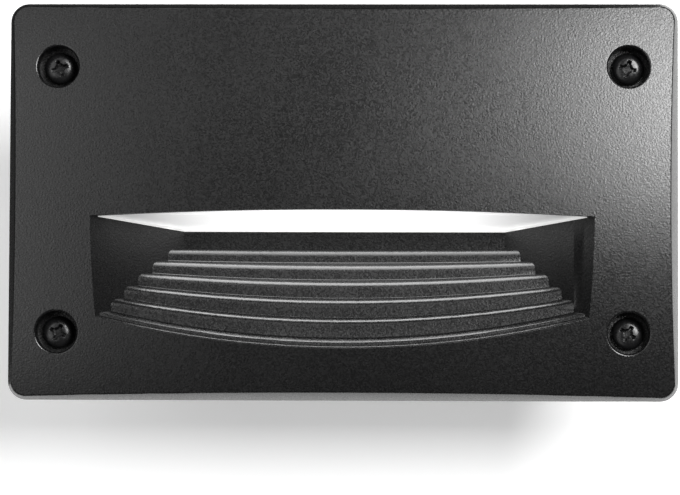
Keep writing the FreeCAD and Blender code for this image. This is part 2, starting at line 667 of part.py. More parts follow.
def driver_case():
    x0, x1 = DRIVER_X - DRIVER_W / 2, DRIVER_X + DRIVER_W / 2
    z0, z1 = DRIVER_Z - DRIVER_H / 2, DRIVER_Z + DRIVER_H / 2
    y0, t = TRAY_Y - DRIVER_D, DRIVER_WALL
    case = block(x0, x1, y0, TRAY_Y, z0, z1)
    case = case.cut(block(x0 + t, x1 - t, y0 - 1, TRAY_Y - t, z0 + t, z1 - t))
    for x, z in driver_ears():
        half = DRIVER_EAR / 2
        ear = block(x - half, x + half, TRAY_Y - DRIVER_EAR_T, TRAY_Y, z - half, z + half)
        case = case.fuse(ear)
        case = case.cut(rod(GEAR_SCREW_R + PASS_FIT / 2, V(x, TRAY_Y - FAR / 4, z), FAR))
    return case.removeSplitter()


def driver_lid():
    y1 = TRAY_Y - DRIVER_D
    w, h = DRIVER_W / 2, DRIVER_H / 2
    return block(DRIVER_X - w, DRIVER_X + w, y1 - DRIVER_LID_T, y1, DRIVER_Z - h, DRIVER_Z + h)


def driver_board():
    w, h = DRIVER_W / 2 - DRIVER_WALL - 0.5, DRIVER_H / 2 - DRIVER_WALL - 0.5
    y1 = TRAY_Y - DRIVER_WALL - DRIVER_FLOOR_GAP
    return block(DRIVER_X - w, DRIVER_X + w, y1 - BOARD_T, y1, DRIVER_Z - h, DRIVER_Z + h)


def driver_board_front():
    return TRAY_Y - DRIVER_WALL - DRIVER_FLOOR_GAP - BOARD_T


def driver_coil():
    """Square transformer core with its winding standing proud."""
    y1 = driver_board_front()
    x, z, half = DRIVER_X - DRIVER_W / 6, DRIVER_Z, DRIVER_H / 4
    core = block(x - half, x + half, y1 - 0.5 * DRIVER_D, y1, z - half, z + half)
    return core.fuse(rod(0.7 * half, V(x, y1 - 0.65 * DRIVER_D, z), 0.65 * DRIVER_D))


def driver_capacitor():
    start = V(DRIVER_X + DRIVER_W / 4, driver_board_front(), DRIVER_Z)
    return rod(DRIVER_H / 6, start, 0.7 * DRIVER_D, -BACK)


# ---------------------------------------------------------------- terminal block
def block_screw_places():
    return [(BLOCK_X, BLOCK_Z + BLOCK_POLE * i) for i in (-1, 0, 1)]


def terminal_block():
    w, h = BLOCK_W / 2, 1.5 * BLOCK_POLE
    front = TRAY_Y - BLOCK_D
    body = block(BLOCK_X - w, BLOCK_X + w, front, TRAY_Y, BLOCK_Z - h, BLOCK_Z + h)
    for x, z in block_screw_places():
        body = body.cut(rod(BLOCK_SCREW_R + THREAD_FIT, V(x, front - 1, z), 1 + 2 * BLOCK_SCREW_DEPTH))
    for z in (BLOCK_Z - BLOCK_POLE / 2, BLOCK_Z + BLOCK_POLE / 2):
        body = body.cut(block(BLOCK_X - w, BLOCK_X + w, front - 1, front + BLOCK_D / 3, z - 0.6, z + 0.6))
    return body


def terminal_screw(x, z):
    start = V(x, TRAY_Y - BLOCK_D + BLOCK_SCREW_DEPTH, z)
    screw = rod(BLOCK_SCREW_R, start, BLOCK_SCREW_DEPTH)
    r = BLOCK_SCREW_R + 1
    return screw.cut(block(x - r, x + r, start.y - 1, start.y + 1, z - 0.4, z + 0.4))


# ---------------------------------------------------------------- light source
def bracket_screw_places():
    z = BRACKET_Z + BRACKET_T + (BRACKET_RISE - BRACKET_T) / 2
    return [(-BRACKET_SCREW_X, z), (BRACKET_SCREW_X, z)]


def led_bracket():
    """Aluminium angle: its leg is screwed to the tray, its shelf carries the LED board."""
    half = BRACKET_W / 2
    shelf = block(-half, half, BRACKET_FRONT_Y, TRAY_Y, BRACKET_Z, BRACKET_Z + BRACKET_T)
    leg = block(-half, half, TRAY_Y - BRACKET_T, TRAY_Y, BRACKET_Z, BRACKET_Z + BRACKET_RISE)
    angle = shelf.fuse(leg)
    for x, z in bracket_screw_places():
        angle = angle.cut(rod(GEAR_SCREW_R + PASS_FIT / 2, V(x, TRAY_Y - FAR / 4, z), FAR))
    return angle.removeSplitter()


def led_board():
    half = LED_PITCH * LED_COUNT / 2
    x0 = -REFLECTOR_W / 2 - LED_BOARD_TAIL
    y0, z0 = LED_BOARD_Y, BRACKET_Z - BOARD_T
    return block(x0, half, y0, y0 + LED_BOARD_D, z0, BRACKET_Z)


def led_chip(i):
    x = LED_PITCH * (i - (LED_COUNT - 1) / 2)
    y, z = LED_BOARD_Y + LED_BOARD_D / 2, BRACKET_Z - BOARD_T
    half = LED_SIZE / 2
    return block(x - half, x + half, y - half, y + half, z - LED_T, z)


def reflector():
    """White sheet bent round the back and ends of the lamp space."""
    half, t = REFLECTOR_W / 2, REFLECTOR_T
    y0, y1 = BRACKET_FRONT_Y, REFLECTOR_BACK_Y
    z0, z1 = REFLECTOR_BOTTOM_Z, BRACKET_Z
    sheet = block(-half, half, y0, y1, z0, z1)
    sheet = sheet.cut(block(-half + t, half - t, y0 - 1, y1 - t, z0 - 1, z1 + 1))
    gap = SLOT_GAP
    z_slot = BRACKET_Z - BOARD_T - gap
    slot = block(-half - 1, 0, LED_BOARD_Y - gap, LED_BOARD_Y + LED_BOARD_D + gap, z_slot, z1 + 1)
    return sheet.cut(slot)


def led_plug_place():
    x = -REFLECTOR_W / 2 - LED_BOARD_TAIL + PLUG_W / 2
    return V(x, LED_BOARD_Y + LED_BOARD_D - PLUG_W / 2, BRACKET_Z - BOARD_T - PLUG_H / 2)


def led_plug():
    p = led_plug_place()
    half = PLUG_W / 2
    return block(p.x - half, p.x + half, p.y - half, p.y + half, p.z - PLUG_H / 2, p.z + PLUG_H / 2)


# ---------------------------------------------------------------- gland and plug
def hub_face(side):
    return V(side * (BOX_W / 2 + HUB_L), HUB_Y, HUB_Z)


def gland_body():
    face = hub_face(1)
    inner = BOX_WALL + HUB_L + GLAND_IN
    body = rod(GLAND_R, face - RIGHT * inner, inner, RIGHT)
    body = body.fuse(hexagon(GLAND_HEX, face, GLAND_HEX_L, RIGHT))
    body = body.fuse(rod(GLAND_NECK_R, face + RIGHT * GLAND_HEX_L, GLAND_NECK_L, RIGHT))
    bore = rod(GLAND_BORE_R, face - RIGHT * (inner + 1), FAR, RIGHT)
    seat = rod(GLAND_BORE_R + SEAL_WALL, face + RIGHT * (GLAND_HEX_L + GLAND_NECK_L - SEAL_L), FAR, RIGHT)
    return body.cut(bore).cut(seat).removeSplitter()


def gland_locknut():
    start = hub_face(1) - RIGHT * (BOX_WALL + HUB_L + LOCKNUT_T)
    nut = hexagon(GLAND_HEX, start, LOCKNUT_T, RIGHT)
    return nut.cut(rod(GLAND_R + THREAD_FIT, start - RIGHT, LOCKNUT_T + 2, RIGHT))


def gland_seal():
    start = hub_face(1) + RIGHT * (GLAND_HEX_L + GLAND_NECK_L - SEAL_L)
    ring = rod(GLAND_BORE_R + SEAL_WALL - THREAD_FIT, start, SEAL_L, RIGHT)
    return ring.cut(rod(GLAND_BORE_R, start - RIGHT, SEAL_L + 2, RIGHT))


def gland_nut():
    start = hub_face(1) + RIGHT * (GLAND_HEX_L + PASS_FIT)
    wall = GLAND_HEX - GLAND_NECK_R
    grip = hexagon(GLAND_HEX, start, 0.6 * GLAND_NUT_L, RIGHT)
    nut = grip.fuse(Part.makeCone(GLAND_HEX * 0.86, GLAND_BORE_R + wall / 2, 0.4 * GLAND_NUT_L,
                                  start + RIGHT * 0.6 * GLAND_NUT_L, RIGHT))
    nut = nut.cut(rod(GLAND_NECK_R + THREAD_FIT, start - RIGHT, GLAND_NECK_L + 1, RIGHT))
    return nut.cut(rod(GLAND_BORE_R + PASS_FIT, start, FAR, RIGHT))


def blanking_plug():
    face = hub_face(-1)
    inward = BOX_WALL + HUB_L + 1.0
    plug = rod(GLAND_R, face, inward, RIGHT)
    plug = plug.fuse(rod(HUB_R - 2, face - RIGHT * HUB_L, HUB_L, RIGHT))
    slot = block(face.x - HUB_L - 1, face.x - HUB_L / 2, HUB_Y - 6, HUB_Y + 6, HUB_Z - 1, HUB_Z + 1)
    return plug.cut(slot)


# ---------------------------------------------------------------- wiring
def earth_top():
    return V(EARTH_X, EARTH_Y, -(BOX_H / 2 - BOX_WALL) + EARTH_BOSS_H)


def earth_tag():
    """Ring tag under the earth screw, with a crimp sleeve for the lead."""
    top = earth_top()
    tag = rod(EARTH_TAG_R, top, EARTH_TAG_T, UP)
    half = WIRE_R + CRIMP_WALL
    tail = block(top.x - half, top.x + half, top.y, top.y + EARTH_TAG_L, top.z, top.z + EARTH_TAG_T)
    sleeve_z = top.z + half
    sleeve = rod(half, V(top.x, top.y + EARTH_TAG_R + CRIMP_GAP, sleeve_z), EARTH_TAG_L - EARTH_TAG_R, BACK)
    tag = tag.fuse(tail).fuse(sleeve)
    return tag.cut(rod(EARTH_SCREW_R + THREAD_FIT, top - UP, 4, UP))


def earth_screw():
    seat = earth_top() + UP * EARTH_TAG_T
    return pan_screw(seat, -UP, EARTH_SCREW_R, EARTH_BOSS_H, 2 * EARTH_SCREW_R, 1.3 * EARTH_SCREW_R)


def wire(points):
    """Insulated lead: straight runs joined by tangent arcs."""
    edges = []
    start = points[0]
    for before, corner, after in zip(points, points[1:], points[2:]):
        into, out = (corner - before), (after - corner)
        tangent = 0.45 * min(into.Length, out.Length)
        into.normalize()
        out.normalize()
        turn = into.getAngle(out)
        radius = tangent / math.tan(turn / 2)
        bulge = radius / math.cos(turn / 2) - radius
        inward = out - into
        inward.normalize()
        first, last = corner - into * tangent, corner + out * tangent
        edges.append(Part.LineSegment(start, first).toShape())
        edges.append(Part.Arc(first, corner + inward * bulge, last).toShape())
        start = last
    edges.append(Part.LineSegment(start, points[-1]).toShape())
    path = Part.Wire(edges)
    heading = points[1] - points[0]
    ring = Part.Wire(Part.makeCircle(WIRE_R, points[0], heading))
    return path.makePipeShell([ring], True, False)


def driver_top_z():
    return DRIVER_Z + DRIVER_H / 2


def led_lead(i):
    plug = led_plug_place()
    x0 = plug.x - WIRE_PITCH / 2 + WIRE_PITCH * i
    x1 = DRIVER_X - DRIVER_W / 2 + LEAD_STUB / 2 + WIRE_PITCH * i
    y1 = TRAY_Y - DRIVER_D / 2
    start = V(x0, plug.y + PLUG_W / 2 + LEAD_GAP, plug.z)
    end = V(x1, y1, driver_top_z() + LEAD_GAP)
    return wire([start, V(x0, y1 - 2 * WIRE_R, plug.z), end + UP * LEAD_STUB, end])


def supply_lead(i):
    z = BLOCK_Z + BLOCK_POLE * i + WIRE_PITCH
    start = V(BLOCK_X - BLOCK_W / 2 - LEAD_GAP, TRAY_Y - 0.6 * BLOCK_D, z)
    end = V(DRIVER_X + DRIVER_W / 2 + LEAD_GAP, TRAY_Y - 0.6 * DRIVER_D, z)
    middle = (start.x + end.x) / 2
    return wire([start, V(middle + WIRE_R, start.y, z), V(middle - WIRE_R, end.y, z), end])


def earth_lead():
    start = V(BLOCK_X + BLOCK_W / 2 + LEAD_GAP, TRAY_Y - 0.5 * BLOCK_D, BLOCK_Z - BLOCK_POLE)
    top = earth_top()
    end = V(top.x, top.y + EARTH_TAG_L + CRIMP_GAP + LEAD_GAP, top.z + WIRE_R + CRIMP_WALL)
    return wire([start, V(end.x, start.y, start.z), V(end.x, start.y, end.z), end])


# ---------------------------------------------------------------- write the parts
def numbered(name, shapes):
    return {f"{name}_{i + 1}": shape for i, shape in enumerate(shapes)}


def cover_pieces():
    pieces = {"face_plate": face_plate(), "lens": lens(), "lens_gasket": lens_gasket()}
    pieces.update(numbered("lens_clip", [lens_clip(side) for side in (-1, 1)]))
    pieces.update(numbered("clip_screw", [clip_screw(side) for side in (-1, 1)]))
    return pieces


def screw_pieces():
    places = screw_places()
    pieces = numbered("face_screw", [face_screw(x, z, t) for (x, z), t in zip(places, SCREW_TURNS)])
    pieces.update(numbered("seal_washer", [seal_washer(x, z) for x, z in places]))
    return pieces


def housing_pieces():
    pieces = {"back_box": back_box(), "box_gasket": box_gasket()}
    pieces.update(numbered("thread_insert", [thread_insert(x, z) for x, z in screw_places()]))
    pieces["gland_body"] = gland_body()
    pieces["gland_locknut"] = gland_locknut()
    pieces["gland_seal"] = gland_seal()
    pieces["gland_nut"] = gland_nut()
    pieces["blanking_plug"] = blanking_plug()
    return pieces


def gear_pieces():
    pieces = {"gear_tray": gear_tray(), "driver_case": driver_case(), "driver_lid": driver_lid()}
    pieces["driver_board"] = driver_board()
    pieces["driver_coil"] = driver_coil()
    pieces["driver_capacitor"] = driver_capacitor()
    pieces["terminal_block"] = terminal_block()
    tray = [gear_screw(x, z, TRAY_Y, GEAR_SCREW_L) for x, z in tray_screw_places()]
    pieces.update(numbered("tray_screw", tray))
    stub = DRIVER_EAR_T + TRAY_T + 2.0
    driver = [gear_screw(x, z, TRAY_Y - DRIVER_EAR_T, stub) for x, z in driver_ears()]
    pieces.update(numbered("driver_screw", driver))
    pieces.update(numbered("terminal_screw", [terminal_screw(x, z) for x, z in block_screw_places()]))
    return pieces


def lamp_pieces():
    pieces = {"led_bracket": led_bracket(), "led_board": led_board(), "reflector": reflector()}
    pieces["led_plug"] = led_plug()
    stub = BRACKET_T + TRAY_T + 2.0
    screws = [gear_screw(x, z, TRAY_Y - BRACKET_T, stub) for x, z in bracket_screw_places()]
    pieces.update(numbered("bracket_screw", screws))
    pieces.update(numbered("led_chip", [led_chip(i) for i in range(LED_COUNT)]))
    return pieces


def wiring_pieces():
    pieces = {"earth_tag": earth_tag(), "earth_screw": earth_screw(), "earth_lead": earth_lead()}
    pieces.update(numbered("led_lead", [led_lead(i) for i in (0, 1)]))
    pieces.update(numbered("supply_lead", [supply_lead(i) for i in (1, 0)]))
    return pieces


os.makedirs("parts", exist_ok=True)
for group in (cover_pieces, screw_pieces, housing_pieces, gear_pieces, lamp_pieces, wiring_pieces):
    for node, solid in group().items():
        print(node, solid.isValid(), len(solid.Solids), round(solid.Volume))
        solid.exportStep(f"parts/{node}.step")
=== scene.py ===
import json
import math

import bmesh
import bpy
import numpy as np
from mathutils import Matrix, Vector


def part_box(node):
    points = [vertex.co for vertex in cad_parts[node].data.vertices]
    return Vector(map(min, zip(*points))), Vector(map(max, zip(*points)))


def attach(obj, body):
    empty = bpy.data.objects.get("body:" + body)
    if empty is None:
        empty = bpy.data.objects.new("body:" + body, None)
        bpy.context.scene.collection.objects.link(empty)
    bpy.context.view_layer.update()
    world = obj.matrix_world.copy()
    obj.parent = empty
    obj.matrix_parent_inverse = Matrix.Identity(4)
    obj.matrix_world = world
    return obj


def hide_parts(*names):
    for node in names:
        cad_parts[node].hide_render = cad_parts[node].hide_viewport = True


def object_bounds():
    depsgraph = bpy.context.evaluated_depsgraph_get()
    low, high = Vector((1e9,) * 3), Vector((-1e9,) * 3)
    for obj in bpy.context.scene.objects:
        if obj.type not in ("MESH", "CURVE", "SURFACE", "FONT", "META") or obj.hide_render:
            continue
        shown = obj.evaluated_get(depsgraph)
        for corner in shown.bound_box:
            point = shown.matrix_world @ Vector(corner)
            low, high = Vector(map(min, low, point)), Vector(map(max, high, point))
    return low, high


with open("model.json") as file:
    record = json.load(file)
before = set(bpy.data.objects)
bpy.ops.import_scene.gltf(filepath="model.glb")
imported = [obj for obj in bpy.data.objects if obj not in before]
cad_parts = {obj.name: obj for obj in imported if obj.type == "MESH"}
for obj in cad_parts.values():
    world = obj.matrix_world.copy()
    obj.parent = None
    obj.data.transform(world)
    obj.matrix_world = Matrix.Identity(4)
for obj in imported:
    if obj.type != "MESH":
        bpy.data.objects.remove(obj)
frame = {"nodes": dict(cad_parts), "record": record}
cad_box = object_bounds()
MM = 0.001

# ---- camera ----
# The photograph is taken from a little right of and below the middle of the plate, with a long
# lens. The camera's place comes from the plate's outline, its screw holes and the scoop's corners.
CAMERA_PLACE = (38.3 * MM, -1308.7 * MM, -92.1 * MM)
CAMERA_YAW = -0.030
CAMERA_PITCH = 0.058
CAMERA_ROLL = 0.004
FOCAL_PIXELS = 3734.8
PHOTO_WIDTH = 680
SENSOR_WIDTH = 36.0

look = Vector((math.sin(CAMERA_YAW) * math.cos(CAMERA_PITCH),
               math.cos(CAMERA_YAW) * math.cos(CAMERA_PITCH), math.sin(CAMERA_PITCH)))
level = Vector((math.cos(CAMERA_YAW), -math.sin(CAMERA_YAW), 0.0))
over = level.cross(look)
side_axis = level * math.cos(CAMERA_ROLL) + over * math.sin(CAMERA_ROLL)
up_axis = over * math.cos(CAMERA_ROLL) - level * math.sin(CAMERA_ROLL)
camera_data = bpy.data.cameras.new("camera")
camera_data.sensor_width = SENSOR_WIDTH
camera_data.lens = FOCAL_PIXELS / PHOTO_WIDTH * SENSOR_WIDTH
camera_data.clip_start = 0.05
camera_data.clip_end = 20.0
camera = bpy.data.objects.new("camera", camera_data)
camera.matrix_world = Matrix.Translation(CAMERA_PLACE) @ Matrix(
    (side_axis, up_axis, -look)).transposed().to_4x4()
bpy.context.scene.collection.objects.link(camera)
bpy.context.scene.camera = camera


# ---- face plate ----
# One aluminium casting: domed face, stepped scoop, four screw cups. It is painted with a fine
# textured black powder coat, whose grain sparkles where a lamp catches it.
COARSE_PER_MM = 1.7
FINE_PER_MM = 3.2
FLAKES_PER_MM = 2.6
GRAINS_PER_MM = 2.3
DRIFT_PER_MM = 0.03
GRAIN_SHINE = 0.12
GRAIN_HEIGHT = 0.031 * MM


def link_input(tree, socket, value):
    """Feeds a socket from another node's output, or sets it to a plain value."""
    if isinstance(value, bpy.types.NodeSocket):
        tree.links.new(value, socket)
    else:
        socket.default_value = value


def add_node(tree, kind, *inputs, **settings):
    """Adds a node; inputs go to its sockets in order, and None leaves one alone."""
    node = tree.nodes.new(kind)
    for name, value in settings.items():
        setattr(node, name, value)
    for socket, value in zip(node.inputs, inputs):
        if value is not None:
            link_input(tree, socket, value)
    return node


def math_node(tree, operation, a, b=0.0):
    """The result of one sum on two sockets or numbers."""
    return add_node(tree, "ShaderNodeMath", a, b, operation=operation).outputs[0]


def noise(tree, vector, per_mm, detail=2.0):
    """Noise whose lumps are about 1 / per_mm millimetres across, from 0 to 1."""
    node = tree.nodes.new("ShaderNodeTexNoise")
    tree.links.new(vector, node.inputs["Vector"])
    node.inputs["Scale"].default_value = per_mm / MM
    node.inputs["Detail"].default_value = detail
    return node.outputs["Fac"]


def spread(tree, value, low, high, out_low=0.0, out_high=1.0):
    """Stretches the range from low to high over the range from out_low to out_high."""
    node = tree.nodes.new("ShaderNodeMapRange")
    node.interpolation_type = "SMOOTHSTEP"
    for name, number in (("Value", value), ("From Min", low), ("From Max", high),
                         ("To Min", out_low), ("To Max", out_high)):
        link_input(tree, node.inputs[name], number)
    return node.outputs["Result"]


def shader_group(name, inputs, outputs):
    """An empty node group with number and vector inputs and outputs."""
    tree = bpy.data.node_groups.new(name, "ShaderNodeTree")
    for direction, sockets in (("INPUT", inputs), ("OUTPUT", outputs)):
        for label, kind in sockets:
            tree.interface.new_socket(label, in_out=direction, socket_type="NodeSocket" + kind)
    return tree, tree.nodes.new("NodeGroupInput"), tree.nodes.new("NodeGroupOutput")


def grains(tree, place, per_mm):
    """A random number from 0 to 1 for each grain."""
    cell = tree.nodes.new("ShaderNodeTexVoronoi")
    tree.links.new(place, cell.inputs["Vector"])
    cell.inputs["Scale"].default_value = per_mm / MM
    return add_node(tree, "ShaderNodeSeparateColor", cell.outputs["Color"]).outputs[0]


def make_grain():
    """Powder-coat grain: height for a bump, the flakes that stand up, and how each grain shines."""
    tree, start, end = shader_group(
        "powder_grain", [("Position", "Vector"), ("Coarse", "Float"), ("Fine", "Float")],
        [("Height", "Float"), ("Flakes", "Float"), ("Shine", "Float"), ("Drift", "Float")])
    place = start.outputs["Position"]
    coarse = noise(tree, place, COARSE_PER_MM, 0.0)
    fine = noise(tree, place, FINE_PER_MM, 0.0)
    lumps = math_node(tree, "MULTIPLY", coarse, start.outputs["Coarse"])
    grit = math_node(tree, "MULTIPLY", fine, start.outputs["Fine"])
    tree.links.new(math_node(tree, "ADD", lumps, grit), end.inputs["Height"])
    flakes = spread(tree, noise(tree, place, FLAKES_PER_MM, 0.0), 0.60, 0.75)
    tree.links.new(flakes, end.inputs["Flakes"])
    tree.links.new(grains(tree, place, GRAINS_PER_MM), end.inputs["Shine"])
    tree.links.new(noise(tree, place, DRIFT_PER_MM), end.inputs["Drift"])
    return tree


def new_material(name, roughness, metallic=0.0, **sockets):
    """A Principled material, with its constants set on the shader's own sockets."""
    material = bpy.data.materials.new(name)
    material.use_nodes = True
    shader = material.node_tree.nodes["Principled BSDF"]
    shader.inputs["Roughness"].default_value = roughness
    shader.inputs["Metallic"].default_value = metallic
    for label, value in sockets.items():
        shader.inputs[label.replace("_", " ")].default_value = value
    place = material.node_tree.nodes.new("ShaderNodeTexCoord").outputs["Object"]
    return material, material.node_tree, shader, place


def blend_colour(tree, amount, low, high):
    """Mixes two colours by a number from 0 to 1."""
    node = tree.nodes.new("ShaderNodeMix")
    node.data_type = "RGBA"
    link_input(tree, node.inputs["Factor"], amount)
    node.inputs["A"].default_value = (*low, 1.0)
    node.inputs["B"].default_value = (*high, 1.0)
    return node.outputs["Result"]


def bump(tree, shader, height, strength, distance):
    """Gives a shader the relief of a height, at most a distance deep."""
    node = tree.nodes.new("ShaderNodeBump")
    node.inputs["Strength"].default_value = strength
    node.inputs["Distance"].default_value = distance
    tree.links.new(height, node.inputs["Height"])
    tree.links.new(node.outputs["Normal"], shader.inputs["Normal"])


powder_grain = make_grain()


def powder_black(name, paint, flake, roughness):
    """Black powder coat: dark paint, paler flakes, and a gloss that differs from grain to grain."""
    material, tree, shader, place = new_material(name, roughness)
    grain = add_node(tree, "ShaderNodeGroup", node_tree=powder_grain)
    tree.links.new(place, grain.inputs["Position"])
    grain.inputs["Coarse"].default_value = 1.0
    grain.inputs["Fine"].default_value = 0.35
    colour = blend_colour(tree, grain.outputs["Flakes"], paint, flake)
    tree.links.new(colour, shader.inputs["Base Color"])
    drift = spread(tree, grain.outputs["Drift"], 0.3, 0.7, roughness - 0.01, roughness + 0.01)
    uneven = math_node(tree, "MULTIPLY", grain.outputs["Shine"], GRAIN_SHINE)
    tree.links.new(math_node(tree, "SUBTRACT", drift, uneven), shader.inputs["Roughness"])
    bump(tree, shader, grain.outputs["Height"], 1.0, GRAIN_HEIGHT)
    return material


plate_paint = powder_black("plate_paint", (0.003, 0.003, 0.0031), (0.010, 0.010, 0.0103), 0.33)


def welded_copy(node, name, smooth_deg, weld=0.002 * MM):
    """A copy of a CAD node's mesh with its triangles joined, smooth within smooth_deg."""
    mesh = frame["nodes"][node].data.copy()
    mesh.name = name
    work = bmesh.new()
    work.from_mesh(mesh)
    bmesh.ops.remove_doubles(work, verts=work.verts, dist=weld)
    bmesh.ops.dissolve_degenerate(work, edges=work.edges, dist=weld)
    work.to_mesh(mesh)
    work.free()
    mesh.materials.clear()
    brought_along = ("custom_normal", "sharp_edge")
    for layer in [layer for layer in mesh.attributes if layer.name in brought_along]:
        mesh.attributes.remove(layer)
    mesh.polygons.foreach_set("use_smooth", [True] * len(mesh.polygons))
    mesh.set_sharp_from_angle(angle=math.radians(smooth_deg))
    piece = bpy.data.objects.new(name, mesh)
    bpy.context.scene.collection.objects.link(piece)
    return piece


def finish_piece(piece, material, body, slot, *nodes):
    """Gives a piece its material, its body and the CAD nodes that it stands for."""
    piece.data.materials.clear()
    piece.data.materials.append(material)
    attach(piece, body)
    if nodes:
        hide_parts(*nodes)
    return piece


CORNER_HEIGHT = 3.5
CROWN_X = 4.9
CROWN_Z = 6.5
plate_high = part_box("face_plate")[1]
HALF_W = plate_high[0] / MM
HALF_H = plate_high[2] / MM
TURN_R = (HALF_W ** 2 + CROWN_X ** 2) / (2 * CROWN_X)
ROLL_R = (HALF_H ** 2 + CROWN_Z ** 2) / (2 * CROWN_Z)
SLOPE_STEP = 0.01
CROWN_REACH = 0.04
CROWN_AGREES = 0.97


def crown_height(x, z):
    """Height of the domed face above the wall, in millimetres: an arc turned about an upright."""
    radius = TURN_R - ROLL_R + np.sqrt(ROLL_R ** 2 - z ** 2)
    return CORNER_HEIGHT + CROWN_X + CROWN_Z - TURN_R + np.sqrt(np.maximum(radius, 0) ** 2 - x ** 2)


def crown_normals(mesh):
    """Sets exact normals on the domed face, which the CAD mesh has only as facets."""
    count = len(mesh.loops)
    normals = np.empty(count * 3)
    mesh.corner_normals.foreach_get("vector", normals)
    normals = normals.reshape(-1, 3)
    corner = np.empty(count, dtype=int)
    mesh.loops.foreach_get("vertex_index", corner)
    points = np.empty(len(mesh.vertices) * 3)
    mesh.vertices.foreach_get("co", points)
    x, y, z = (points.reshape(-1, 3)[corner] / MM).T
    sides = np.empty(len(mesh.polygons), dtype=int)
    mesh.polygons.foreach_get("loop_total", sides)
    facet = np.empty(len(mesh.polygons) * 3)
    mesh.polygons.foreach_get("normal", facet)
    facet = np.repeat(facet.reshape(-1, 3), sides, axis=0)
    across = crown_height(x + SLOPE_STEP, z) - crown_height(x - SLOPE_STEP, z)
    upward = crown_height(x, z + SLOPE_STEP) - crown_height(x, z - SLOPE_STEP)
    exact = np.stack([-across / (2 * SLOPE_STEP), -np.ones(count), -upward / (2 * SLOPE_STEP)], axis=1)
    exact /= np.linalg.norm(exact, axis=1)[:, None]
    near = np.abs(y + crown_height(x, z)) < CROWN_REACH
    on_crown = near & ((facet * exact).sum(axis=1) > CROWN_AGREES)
    normals[on_crown] = exact[on_crown]
    mesh.normals_split_custom_set(normals)


casting = welded_copy("face_plate", "plate_casting", 30)
crown_normals(casting.data)
finish_piece(casting, plate_paint, "cover", "cast_black", "face_plate")


# ---- lens ----
# A strip of opal glass that lies on the scoop's rim. Its glow is painted light that stands in for the
# LEDs above it: brightest in the middle, dimmer towards its ends. A lamp under it gives what the LEDs
# send straight down.
GLOW_BRIGHT_TO = 25 * MM
GLOW_DIM_FROM = 95 * MM
GLOW_AT_ENDS = 0.1
LENS_GLOW = 1.15
BEAM_LENGTH = 140 * MM
BEAM_WIDTH = 20 * MM
BEAM_POWER = 0.027
BEAM_SPREAD = 110


def lit_glass():
    """Opal glass with painted light: it glows as if lit from above, less so towards both ends."""
    material, tree, shader, place = new_material("opal_glass", 0.25, IOR=1.5)
    shader.inputs["Base Color"].default_value = (0.9, 0.9, 0.9, 1.0)
    across = add_node(tree, "ShaderNodeSeparateXYZ", place).outputs["X"]
    reach = math_node(tree, "ABSOLUTE", across)
    glow = spread(tree, reach, GLOW_BRIGHT_TO, GLOW_DIM_FROM, 1.0, GLOW_AT_ENDS)
    colour = blend_colour(tree, glow, (0.0, 0.0, 0.0), (1.0, 1.0, 1.0))
    tree.links.new(colour, shader.inputs["Emission Color"])
    shader.inputs["Emission Strength"].default_value = LENS_GLOW
    bump(tree, shader, noise(tree, place, 0.8), 0.1, 0.05 * MM)
    return material


finish_piece(welded_copy("lens", "lens_pane", 30), lit_glass(), "cover", "lens_glass", "lens")

beam_lamp = bpy.data.lights.new("lens_beam", "AREA")
beam_lamp.shape = "RECTANGLE"
beam_lamp.size = BEAM_LENGTH
beam_lamp.size_y = BEAM_WIDTH
beam_lamp.energy = BEAM_POWER
beam_lamp.spread = math.radians(BEAM_SPREAD)
beam = bpy.data.objects.new("lens_beam", beam_lamp)
beam.location = (0.0, 8 * MM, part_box("lens")[0][2] + 0.5 * MM)
beam.visible_camera = False
bpy.context.scene.collection.objects.link(beam)
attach(beam, "cover")


# ---- face screws ----
# Four black pan-head screws with a cross recess. Each is its own body, because it turns and
# backs out by itself; the thread really winds round the shank.
HEAD_RINGS = 26
HEAD_HUB = 0.12
HEAD_DOME = 0.82
HEAD_RIM = 0.18
THREAD_DEPTH = 0.16
TIP_TAPER = 0.25
RINGS_PER_TURN = 8


